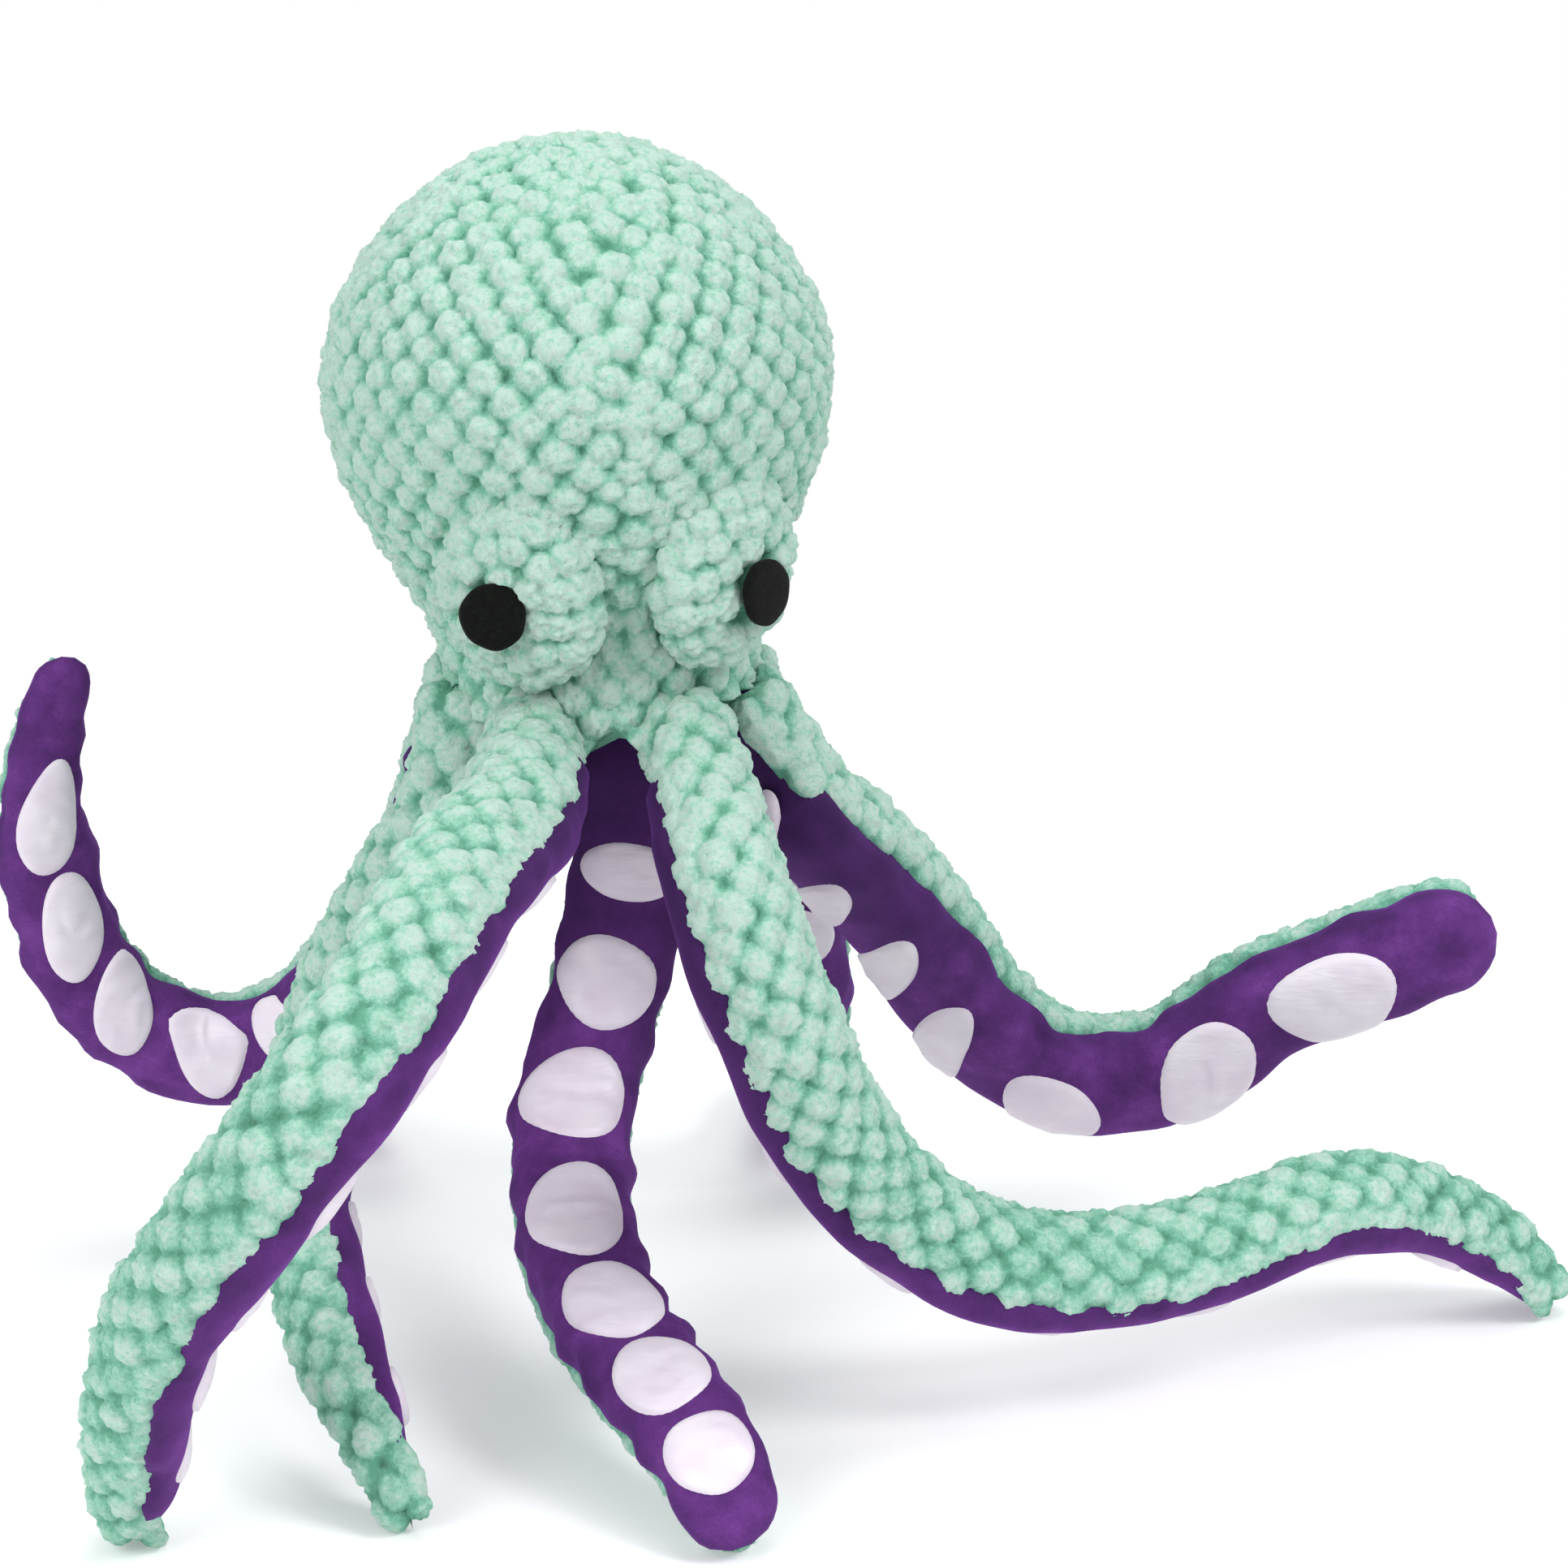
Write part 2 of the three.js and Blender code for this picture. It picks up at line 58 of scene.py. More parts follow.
# The frame's own sizes, repeated so that the cloth follows its solids
STANCE = 0.150
REACH = 0.200
HEAD_HEIGHT = 0.1175
HEAD_RADIUS = 0.0525
WAIST_HEIGHT = 0.068
NECK_RADIUS = 0.033
NECK_SEAM = 0.004
CROWN_FULLNESS = 1.85
LEAN = math.radians(4)
FACE_TURN = 12.5
NECK_SWELL = [(0, 0), (0.29, 0.1), (0.43, 0.33), (0.57, 0.58), (0.71, 0.8), (0.88, 0.95), (1, 1)]
RING_RADIUS = 0.031
FACE_GAP = 60.0
RING_TURN = 5.0
ROOT_RADIUS = 0.0102
ARM_HALF = 0.0128
TIP_HALF = 0.0096
SWELL = [(0, 0), (0.05, 0.3), (0.1, 0.75), (0.16, 1)]
TAPER = [(0.55, 0), (0.8, 0.3), (1, 1)]
BACK_RISE = [(0, 0.95), (0.2, 1.12), (0.9, 1.08), (1, 1)]
BELLY_DROP = [(0, 0.85), (0.2, 0.72), (1, 0.7)]
FOOT_CUT = 0.0005
SETTLE_PASSES = 4
PAD_SIZE = (0.0175, 0.0215, 0.009)
PAD_SINK = 0.0005
PAD_SLOPE = 0.5
PAD_HEIGHT = 0.0325
PAD_TURN = 29.5
EYE_RADIUS = 0.0067
EYE_HEIGHT = 0.032
EYE_TURN = 33.5
SUCKERS = (0.2, 0.312, 0.424, 0.536, 0.648, 0.76, 0.872)

# What the cloth adds to the frame on the head: the flaps of the neck seam, the pads' full sides,
# the rings of bumps on a pad (share of its width, count, size of each) and how the eyes sit
WEB_LENGTH = 0.008
WEB_TURN = 12.0
PAD_FULLNESS = 3.2
PAD_RINGS = [(0.0, 1, 1.04), (0.31, 6, 1.04), (0.6, 11, 1.04), (0.87, 15, 1.18), (1.0, 18, 1.1)]
EYE_LOOKS = {-1: 22.0, 1: 36.0}
EYE_DROPS = {-1: 0.0, 1: 0.0015}
EYE_LIFT = 0.05
FELT_THICK = 0.0013
FELT_STAND = 0.0016
FELT_ROWS = [(0.0, 1.0), (0.35, 0.98), (0.7, 0.9), (0.9, 0.72), (1.0, 0.4), (1.0, -0.1), (0.92, -0.5), (0.0, -0.5)]

# Bellies and suckers; the suckers are a little larger than the frame's windows
BELLY_POWER = 2 / 2.7
ROOT_SHADE = [(0, 0.3), (0.15, 0.5), (0.45, 1)]
SUCKER_RINGS = 9
SUCKER_SIDES = 36
SUCKER_PUFF = 0.0012
SUCKER_HALF_WIDTH = 0.0108
SUCKER_HALF_LENGTH = 0.0104
# How suckers change along an arm: share of its length, slide across it, width, length and slant
PLAIN_SUCKERS = [(0, 0, 1, 1, 0)]
SUCKER_CHANGES = {"right": [(0, -0.5, 1.3, 0.8, -1.0), (0.45, -0.5, 1.3, 0.85, -0.9),
                            (0.57, -0.3, 1.15, 1.1, -0.45), (0.71, -0.08, 1.2, 1.2, 0.35), (0.85, 0, 1.2, 1.35, 0)],
                  "rear_left": [(0.44, -0.2, 1.2, 0.75, 0), (0.535, -0.3, 1.12, 0.82, -0.1),
                                (0.64, -0.2, 1, 0.95, -0.6), (0.735, -0.08, 0.85, 1.5, -0.8),
                                (0.85, -0.05, 0.9, 2, -0.75)],
                  "back_centre": [(0.19, 0, 1.05, 0.7, 0), (0.31, 0, 1.15, 0.95, 0), (0.45, 0, 1.15, 1.12, 0),
                                  (0.605, 0, 1.08, 1.42, 0), (0.735, 0, 1.1, 1.25, 0), (1, 0, 1.05, 1.15, 0)]}

# Fleece bumps, the cloth they stand on and the spacing of its points
BUMP_PITCH = 0.0086
BUMP_ROW = 0.0052
BUMP_RADIUS = 0.0048
BUMP_HEIGHT = 0.0035
BUMP_FULLNESS = 2.8
BUMP_CROWD = 0.0055
BUMP_GAP = 0.0049
BUMP_WARP = 0.0005
BUMP_WARP_CELL = 0.0027
BUMP_WARP_SEED = 30
BUMP_BLEND = 30.0
CROWN_REACH = 0.0155
CROWN_ROW = 1.15
CROWN_PITCH = 0.86
BUMP_INSET = 0.0030
SKIN_INSET = 0.0033
SKIN_STEP = 0.00062
PILE_LUMPS = [(0.0020, 0.00034), (0.0010, 0.00060)]
PILE_RISE = 3
# Painted shade: over these heights on a bump the tone rises from the dark crevices to the light tops
TONE_FROM = 0.35
TONE_SPAN = 0.5
BLOCK = 3000
SEAM_OVERLAP = 0.0009
SEAM_SINK = 0.0005
EDGE_ROUND = 0.13
# Painted shade: the arms' bumps darker from their upper part to the tip, by share of length
ARM_PAINTED_SHADE = [(0, 0.02), (0.15, 0), (0.35, -0.26), (0.5, -0.4), (1, -0.4)]
ARM_BUMP = 1.26
HEAD_BUMP = 1.10
# Painted shade: the head's bumps darker towards the neck seam
NECK_PAINTED_SHADE = -0.22
# Painted light: the eye pads' bumps a little lighter than the head's
PAD_PAINTED_LIGHT = 0.06
COLLARS = {"front_right": (0.016, 70.0), "front_left": (0.016, 70.0), "right": (0.025, 82.0)}
PLAIN_COLLAR = (0.022, 60.0)
TIP_HOODS = {"front_left": 60.0, "left": 60.0, "front_right": 40.0}
TIP_HOOD_LENGTH = 0.024
TIP_LENGTH = 0.011
TIP_BUMP = 0.0025
STUFFING_START = 0.012

# Studio: lamps by name, place, size and power; the floor's fade; the camera against the ring of arms
LAMPS = [("key", (0.9, -0.6, 1.1), 0.5, 10.5), ("fill", (-0.8, -0.9, 0.7), 0.9, 10.5),
         ("top", (0.1, 0.1, 1.5), 0.9, 7.0)]
LAMP_TARGET = (0, 0, 0.12)
FLOOR_FADE = (0.32, 0.62)
CAMERA_PLACE = (0.0376, -0.8221, 0.2166)
CAMERA_DROP = 16
CAMERA_LENS = 93.2

# An arm's girth and tip against the others', how far inside its seam the fleece bumps stop,
# its suckers as shares of its length, its route in shares of reach and stance, and the
# directions that its belly faces from root to tip
Row = namedtuple("Row", "name stands girth tip seam suckers route belly")
ARMS = [
    Row("front_right", True, 1.02, 0.82, 0.0008, SUCKERS,
        [(0.112, -0.21, 0.91), (0.13, -0.27, 0.83), (0.158, -0.29, 0.72), (0.189, -0.28, 0.61),
         (0.229, -0.25, 0.485), (0.288, -0.21, 0.368), (0.376, -0.17, 0.27), (0.5, -0.13, 0.225),
         (0.605, -0.09, 0.23), (0.695, -0.045, 0.253), (0.785, 0, 0.28), (0.88, 0.05, 0.255),
         (0.975, 0.1, 0.185), (1.058, 0.14, 0.08)],
        [(-0.55, 0.6, -0.58), (-0.8, 0.5, -0.3), (-0.4, 0.2, -0.9), (0, 0.05, -1), (-0.53, 0.13, -0.83)]),
    Row("right", False, 1.1, 1.25, 0.0036, (0.12, 0.225, 0.345, 0.455, 0.57, 0.71, 0.85),
        [(0.205, 0.01, 0.83), (0.273, 0.1, 0.703), (0.343, 0.19, 0.558), (0.395, 0.25, 0.43),
         (0.46, 0.3, 0.325), (0.545, 0.32, 0.28), (0.635, 0.31, 0.3), (0.735, 0.29, 0.41),
         (0.825, 0.27, 0.47), (0.915, 0.24, 0.535), (0.985, 0.22, 0.57)],
        [(-0.57, -0.55, -0.6), (-0.54, -0.81, -0.22), (-0.3, -0.83, -0.43), (0, -0.9, -0.38),
         (0.1, -0.98, -0.1)]),
    Row("back_right", True, 1.0, 1.0, 0.002, SUCKERS,
        [(0.16, 0.165, 0.815), (0.185, 0.315, 0.67), (0.2, 0.405, 0.44), (0.205, 0.49, 0.215),
         (0.205, 0.61, 0.11), (0.205, 0.74, 0.085), (0.205, 0.85, 0.03)],
        [(0, -0.75, -0.65), (0, -0.95, -0.3), (0, -0.8, -0.6), (0, -0.4, -0.9), (0, -0.3, -0.95)]),
    Row("back_centre", True, 1.02, 1.0, 0.0036, (0.19, 0.31, 0.45, 0.605, 0.735, 0.84, 0.925),
        [(0.025, 0.145, 0.867), (0.02, 0.15, 0.693), (-0.005, 0.15, 0.527), (-0.04, 0.08, 0.367),
         (-0.04, -0.05, 0.273), (-0.005, -0.2, 0.207), (0.045, -0.31, 0.173), (0.112, -0.42, 0.12),
         (0.147, -0.49, 0.04)],
        [(0, -1, 0), (0, -1, 0.1), (0, -0.6, 0.8), (0, -0.35, 0.95), (0, -0.75, 0.65)]),
    Row("back_left", True, 1.0, 1.0, 0.002, SUCKERS,
        [(-0.1, 0.22, 0.867), (-0.165, 0.37, 0.693), (-0.24, 0.4, 0.44), (-0.31, 0.48, 0.213),
         (-0.35, 0.61, 0.107), (-0.38, 0.73, 0.08), (-0.4, 0.84, 0.03)],
        [(0, -0.75, -0.65), (0, -0.95, -0.3), (0, -0.8, -0.6), (0, -0.4, -0.9), (0, -0.3, -0.95)]),
    Row("rear_left", False, 1.0, 0.6, 0.0036, (0.21, 0.33, 0.44, 0.535, 0.64, 0.735, 0.85),
        [(-0.195, 0.16, 0.707), (-0.28, 0.25, 0.507), (-0.375, 0.31, 0.36), (-0.48, 0.33, 0.318),
         (-0.578, 0.31, 0.398), (-0.63, 0.28, 0.55), (-0.643, 0.24, 0.725), (-0.622, 0.2, 0.875),
         (-0.59, 0.17, 1)],
        [(0.3, -0.85, -0.4), (0.1, -0.9, -0.4), (0.05, -0.95, -0.15), (0.3, -0.93, 0), (0.4, -0.9, -0.15)]),
    Row("left", True, 0.92, 0.7, 0.0008, SUCKERS,
        [(-0.16, -0.06, 0.853), (-0.213, -0.03, 0.72), (-0.268, 0.01, 0.58), (-0.304, 0.02, 0.447),
         (-0.32, -0.03, 0.347), (-0.315, -0.11, 0.3), (-0.292, -0.2, 0.27), (-0.25, -0.33, 0.205),
         (-0.207, -0.4, 0.13), (-0.182, -0.42, 0.04)],
        [(0.75, 0.2, -0.6), (0.84, 0.23, -0.48), (0.9, 0.2, -0.3), (0.93, 0.3, -0.15), (0.82, 0.55, 0.1)]),
    Row("front_left", True, 1.05, 0.85, 0.0008, SUCKERS,
        [(-0.075, -0.29, 0.93), (-0.125, -0.46, 0.89), (-0.167, -0.575, 0.81), (-0.208, -0.63, 0.745),
         (-0.26, -0.645, 0.653), (-0.321, -0.63, 0.547), (-0.382, -0.595, 0.427), (-0.415, -0.55, 0.307),
         (-0.44, -0.485, 0.167), (-0.457, -0.42, 0.04)],
        [(0.35, 0.2, -0.9), (0.5, 0.2, -0.83), (0.65, 0.2, -0.72), (0.76, 0.35, -0.5), (0.86, 0.45, -0.2)]),
]


def ring_middle():
    """The middle of the ring of arms, from any one arm's hinge."""
    joint = frame["record"]["behaviour"]["joints"][0]
    axis, place = np.array(joint["axis"]), np.array(joint["pos_m"])
    outward = np.array([-axis[1], axis[0], 0])
    return place - outward * RING_RADIUS


MIDDLE = ring_middle()


def table(rows, places):
    """Straight-line reading of a table of (place, value) rows."""
    return np.interp(places, [row[0] for row in rows], [row[1] for row in rows])


def unit(vectors):
    """Vectors of length one along the last axis."""
    return vectors / np.maximum(np.linalg.norm(vectors, axis=-1, keepdims=True), 1e-12)


def ripple(points, size, seed):
    """Smooth noise between about -1 and 1 with waves of about the given size."""
    source = np.random.default_rng(seed)
    total = np.zeros(len(points))
    for _ in range(7):
        direction = unit(source.normal(size=3)) * (2 * math.pi / size) * source.uniform(0.6, 1.5)
        total += np.sin(points @ direction + source.uniform(0, 2 * math.pi))
    return total / 3.5


def lumps(points, cell, seed):
    """Random values between -1 and 1 that change smoothly from one cell of space to the next."""
    values = np.random.default_rng(seed).uniform(-1, 1, 4093)
    scaled = points / cell
    base = np.floor(scaled).astype(int)
    near = scaled - base
    near = near * near * (3 - 2 * near)
    total = np.zeros(len(points))
    for corner in np.ndindex(2, 2, 2):
        weight = np.prod(np.where(corner, near, 1 - near), axis=1)
        total += weight * values[(base + corner) @ (7919, 104729, 1299709) % len(values)]
    return total


# Materials

def new_material(name):
    """An empty node material and its principled shader."""
    material = bpy.data.materials.new(name)
    material.use_nodes = True
    shader = material.node_tree.nodes["Principled BSDF"]
    return material, material.node_tree, shader


def node(tree, kind, **values):
    """A node with its properties and input values set."""
    made = tree.nodes.new(kind)
    for key, value in values.items():
        if key in made.inputs:
            made.inputs[key].default_value = value
        else:
            setattr(made, key, value)
    return made


def set_inputs(target, values):
    """Sets a node's input values by their names."""
    for key, value in values.items():
        target.inputs[key].default_value = value


def ramp(tree, source, stops):
    """A colour ramp driven by a value socket; stops are (place, (r, g, b))."""
    made = tree.nodes.new("ShaderNodeValToRGB")
    while len(made.color_ramp.elements) < len(stops):
        made.color_ramp.elements.new(0.5)
    for element, (place, colour) in zip(made.color_ramp.elements, stops):
        element.position = place
        element.color = (*colour, 1)
    tree.links.new(source, made.inputs["Fac"])
    return made


def srgb(red, green, blue):
    """Linear colour from 8-bit screen values."""
    def linear(value):
        value /= 255
        return value / 12.92 if value <= 0.04045 else ((value + 0.055) / 1.055) ** 2.4
    return linear(red), linear(green), linear(blue)


def noise(tree, size, detail=3.0, roughness=0.6):
    """Noise in object space with cells of about the given size."""
    places = tree.nodes.new("ShaderNodeTexCoord")
    made = node(tree, "ShaderNodeTexNoise", Scale=1 / size, Detail=detail, Roughness=roughness)
    tree.links.new(places.outputs["Object"], made.inputs["Vector"])
    return made


def mix(tree, mode, factor, first, second):
    """A colour mix node; factor is a number."""
    made = node(tree, "ShaderNodeMix", data_type="RGBA", blend_type=mode)
    made.inputs[0].default_value = factor
    tree.links.new(first, made.inputs[6])
    tree.links.new(second, made.inputs[7])
    return made.outputs[2]


def add_bump(tree, shader, height, strength, distance):
    """Bump from a height socket."""
    bump = node(tree, "ShaderNodeBump", Strength=strength, Distance=distance)
    tree.links.new(height, bump.inputs["Height"])
    tree.links.new(bump.outputs["Normal"], shader.inputs["Normal"])


def fleece_material(name, stops):
    """Chenille bumps: tone follows the height on a bump, with painted shade low in the crevices and painted light
    on the tops, partly the paler fibre tips; broken up by pale tips and deep roots of pile.
    """
    material, tree, shader = new_material(name)
    tone = node(tree, "ShaderNodeAttribute", attribute_name="tone")
    tufts = noise(tree, 0.0015, 4.0, 0.75)
    mottle = node(tree, "ShaderNodeMath", operation="MULTIPLY_ADD")
    set_inputs(mottle, {1: 2.0, 2: -1.03})
    tree.links.new(tufts.outputs["Fac"], mottle.inputs[0])
    total = node(tree, "ShaderNodeMath", operation="ADD")
    tree.links.new(tone.outputs["Fac"], total.inputs[0])
    tree.links.new(mottle.outputs[0], total.inputs[1])
    colours = ramp(tree, total.outputs[0], stops)
    tree.links.new(colours.outputs["Color"], shader.inputs["Base Color"])
    set_inputs(shader, {"Roughness": 0.95, "Sheen Weight": 0.3, "Sheen Roughness": 0.5,
                        "Sheen Tint": (*srgb(196, 245, 222), 1), "Specular IOR Level": 0.15})
    pile = noise(tree, 0.0013, 5.0, 0.85)
    add_bump(tree, shader, pile.outputs["Fac"], 1.0, 0.0017)
    return material


def velboa_material():
    """Short purple pile whose nap brushes lighter and darker, times the painted shade that the mesh carries in its
    tone.
    """
    material, tree, shader = new_material("purple_velboa")
    nap = noise(tree, 0.012, 4.0, 0.65)
    shade = node(tree, "ShaderNodeAttribute", attribute_name="tone")
    total = node(tree, "ShaderNodeMath", operation="MULTIPLY")
    tree.links.new(nap.outputs["Fac"], total.inputs[0])
    tree.links.new(shade.outputs["Fac"], total.inputs[1])
    colours = ramp(tree, total.outputs[0], [
        (0.0, srgb(38, 20, 56)), (0.3, srgb(70, 34, 92)),
        (0.5, srgb(88, 44, 112)), (0.75, srgb(112, 60, 138))])
    grain = noise(tree, 0.0005, 2.0, 0.8)
    specks = ramp(tree, grain.outputs["Fac"], [(0.3, (0.72, 0.72, 0.72)), (0.7, (1.2, 1.2, 1.2))])
    colour = mix(tree, "MULTIPLY", 0.6, colours.outputs["Color"], specks.outputs["Color"])
    tree.links.new(colour, shader.inputs["Base Color"])
    set_inputs(shader, {"Roughness": 0.85, "Sheen Weight": 0.35, "Sheen Roughness": 0.4,
                        "Sheen Tint": (*srgb(160, 80, 205), 1), "Specular IOR Level": 0.15})
    add_bump(tree, shader, grain.outputs["Fac"], 0.35, 0.0003)
    return material


def satin_material():
    """Smooth white satin with faint creases and a lilac cast."""
    material, tree, shader = new_material("white_satin")
    cast = noise(tree, 0.010, 3.0, 0.5)
    colours = ramp(tree, cast.outputs["Fac"], [
        (0.25, srgb(206, 193, 206)), (0.5, srgb(214, 204, 215)), (0.75, srgb(222, 214, 222))])
    tree.links.new(colours.outputs["Color"], shader.inputs["Base Color"])
    set_inputs(shader, {"Roughness": 0.42, "Sheen Weight": 0.2})
    crease = node(tree, "ShaderNodeTexNoise", Scale=1, Detail=3.0, Distortion=0.8)
    places = tree.nodes.new("ShaderNodeTexCoord")
    stretch = node(tree, "ShaderNodeMapping")
    set_inputs(stretch, {"Scale": (70, 160, 420)})
    tree.links.new(places.outputs["Object"], stretch.inputs["Vector"])
    tree.links.new(stretch.outputs["Vector"], crease.inputs["Vector"])
    add_bump(tree, shader, crease.outputs["Fac"], 0.35, 0.0009)
    return material


def felt_material():
    """Dense black felt with stray lighter fibres."""
    material, tree, shader = new_material("black_felt")
    fibres = noise(tree, 0.0009, 5.0, 0.8)
    colours = ramp(tree, fibres.outputs["Fac"], [
        (0.3, srgb(5, 6, 5)), (0.55, srgb(11, 13, 11)), (0.75, srgb(30, 33, 28))])
    tree.links.new(colours.outputs["Color"], shader.inputs["Base Color"])
    set_inputs(shader, {"Roughness": 0.95, "Sheen Weight": 0.05, "Specular IOR Level": 0.1})
    add_bump(tree, shader, fibres.outputs["Fac"], 0.7, 0.0005)
    return material


def filling_material():
    """Loose off-white fibre."""
    material, tree, shader = new_material("fibre_fill")
    wisps = noise(tree, 0.004, 6.0, 0.8)
    colours = ramp(tree, wisps.outputs["Fac"], [(0.3, srgb(215, 215, 208)), (0.7, srgb(246, 246, 242))])
    tree.links.new(colours.outputs["Color"], shader.inputs["Base Color"])
    set_inputs(shader, {"Roughness": 1.0})
    add_bump(tree, shader, wisps.outputs["Fac"], 0.8, 0.002)
    return material


# Mint fleece from the painted shade deep in the crevices to the palest, painted-light tops of the bumps
MINT = [
    (0.0, srgb(116, 193, 162)), (0.25, srgb(136, 211, 182)), (0.55, srgb(168, 232, 206)),
    (0.8, srgb(198, 246, 224)), (1.0, srgb(226, 253, 240)),
]
MATERIALS = {
    "mint_fleece": fleece_material("mint_fleece", MINT),
    "purple_velboa": velboa_material(),
    "white_satin": satin_material(),
    "black_felt": felt_material(),
    "fibre_fill": filling_material(),
}


# Meshes

def make_piece(name, slot, parts):
    """One object from parts of (points, faces, tones), above the floor and smooth shaded."""
    points, faces, tones, start = [], [], [], 0
    for part_points, part_faces, part_tones in parts:
        points.append(np.asarray(part_points, float).reshape(-1, 3))
        faces += [[index + start for index in face] for face in part_faces]
        tones.append(np.broadcast_to(part_tones, len(points[-1])))
        start += len(points[-1])
    places = np.concatenate(points) + MIDDLE
    places[:, 2] = np.maximum(places[:, 2], 0)
    mesh = bpy.data.meshes.new(name)
    mesh.from_pydata(places.tolist(), [], faces)
    mesh.polygons.foreach_set("use_smooth", [True] * len(mesh.polygons))
    attribute = mesh.attributes.new("tone", "FLOAT", "POINT")
    attribute.data.foreach_set("value", np.concatenate(tones).astype(np.float32))
    mesh.materials.append(MATERIALS[slot])
    piece = bpy.data.objects.new(name, mesh)
    bpy.context.collection.objects.link(piece)
    return piece


def grid_faces(rows, columns, around=False):
    """Quads of a rows x columns grid of points; around closes each row on itself."""
    faces = []
    for row in range(rows - 1):
        for column in range(columns if around else columns - 1):
            right = (column + 1) % columns
            a, b = row * columns + column, row * columns + right
            faces.append((a, b, b + columns, a + columns))
    return faces


def end_caps(rows, columns):
    """The two faces that close a grid of points whose rows are rings."""
    return [tuple(reversed(range(columns))), tuple(range((rows - 1) * columns, rows * columns))]


def grid_normals(points, away):
    """Outward directions of a grid of points; away leads roughly outwards at each."""
    down = np.gradient(points, axis=0)
    across = np.gradient(points, axis=1)
    normals = np.cross(down, across)
    size = np.linalg.norm(normals, axis=2, keepdims=True)
    clear = size > 0.04 * np.median(size)
    normals = np.where(clear, normals / np.maximum(size, 1e-12), unit(away))
    return normals * np.where(np.sum(normals * away, axis=2, keepdims=True) < 0, -1, 1)


def varied(places, sizes, tone):
    """Bumps: rows of place, size, height and tone, no two quite alike."""
    count = len(places)
    return np.column_stack([places, sizes * rng.uniform(0.93, 1.07, count), rng.uniform(0.88, 1.1, count),
                            tone + rng.normal(0, 0.05, count)])


def staggered(row, edge, slack_share):
    """Distances across the cloth of one row's bumps; a wide rest at the edges gets one more on each."""
    shift = (row % 2) / 2
    inside = [(column + shift) * BUMP_PITCH for column in range(-9, 10)
              if abs((column + shift) * BUMP_PITCH) <= edge]
    slack = edge - max((abs(across) for across in inside), default=0)
    return inside + [-edge, edge] if slack > BUMP_PITCH * slack_share else inside


def thinned(centres):
    """The centres without those that crowd an earlier one."""
    kept = centres[:1]
    for centre in centres[1:]:
        if np.linalg.norm(kept - centre, axis=1).min() > BUMP_CROWD:
            kept = np.vstack([kept, centre])
    return kept


def filled(centres, cloth):
    """The centres and one more in each place of the cloth that lies too far from all of them."""
    gaps = np.full(len(cloth), np.inf)
    for block in np.array_split(np.arange(len(cloth)), 1 + len(cloth) // BLOCK):
        gaps[block] = np.linalg.norm(cloth[block, None] - centres[None], axis=2).min(axis=1)
    while gaps.max() > BUMP_GAP:
        widest = cloth[gaps.argmax()]
        centres = np.vstack([centres, widest])
        gaps = np.minimum(gaps, np.linalg.norm(cloth - widest, axis=1))
    return centres


def bump_cover(points, bumps):
    """The cloth's height at each point, 0 beside the bumps and 1 on top, and its nearest bump's tone."""
    warp = np.stack([lumps(points, BUMP_WARP_CELL, BUMP_WARP_SEED + axis) for axis in range(3)], axis=1)
    points = points + warp * BUMP_WARP
    cover, tones = np.zeros(len(points)), np.zeros(len(points))
    for block in np.array_split(np.arange(len(points)), 1 + len(points) // BLOCK):
        gaps = np.linalg.norm(points[block, None] - bumps[None, :, :3], axis=2) / (BUMP_RADIUS * bumps[:, 3])
        domes = np.maximum(1 - gaps**BUMP_FULLNESS, 0) * bumps[:, 4]
        cover[block] = np.log1p(np.expm1(BUMP_BLEND * domes).sum(axis=1)) / BUMP_BLEND
        tones[block] = bumps[gaps.argmin(axis=1), 5]
    return cover, tones


def fleece(places, away, bumps, behind=None, rounding=1.0, sink=0.0):
    """A closed part of bump fleece: a grid of places raised at the bumps, closed through behind."""
    rows, columns = places.shape[:2]
    flat, normals = places.reshape(-1, 3), grid_normals(places, away).reshape(-1, 3)
    cover, own = bump_cover(flat, bumps)
    cover = cover * np.broadcast_to(rounding, (rows, columns)).ravel()
    pile = sum(size * lumps(flat, cell, index) for index, (cell, size) in enumerate(PILE_LUMPS))
    height = cover * BUMP_HEIGHT - SKIN_INSET + pile * np.clip(cover * PILE_RISE, 0, 1)
    raised = flat + normals * (height - np.broadcast_to(sink, (rows, columns)).ravel())[:, None]
    # Painted shade and light: low points between the bumps get a darker tone, the tops a lighter one
    tones = np.clip((cover - TONE_FROM) / TONE_SPAN + own, 0, 1).reshape(rows, columns)
    loops = raised.reshape(rows, columns, 3)
    if behind is not None:
        loops = np.concatenate([loops, behind], axis=1)
        tones = np.concatenate([tones, np.zeros(behind.shape[:2])], axis=1)
    size = loops.shape[1]
    return loops.reshape(-1, 3), grid_faces(rows, size, around=True) + end_caps(rows, size), tones.reshape(-1)


# Head

def lean(points):
    """Leans points of the upright head towards its right hand."""
    points = np.asarray(points, float)
    turned = points.copy()
    turned[..., 0] = math.cos(LEAN) * points[..., 0] - math.sin(LEAN) * points[..., 2]
    turned[..., 2] = math.sin(LEAN) * points[..., 0] + math.cos(LEAN) * points[..., 2]
    return turned


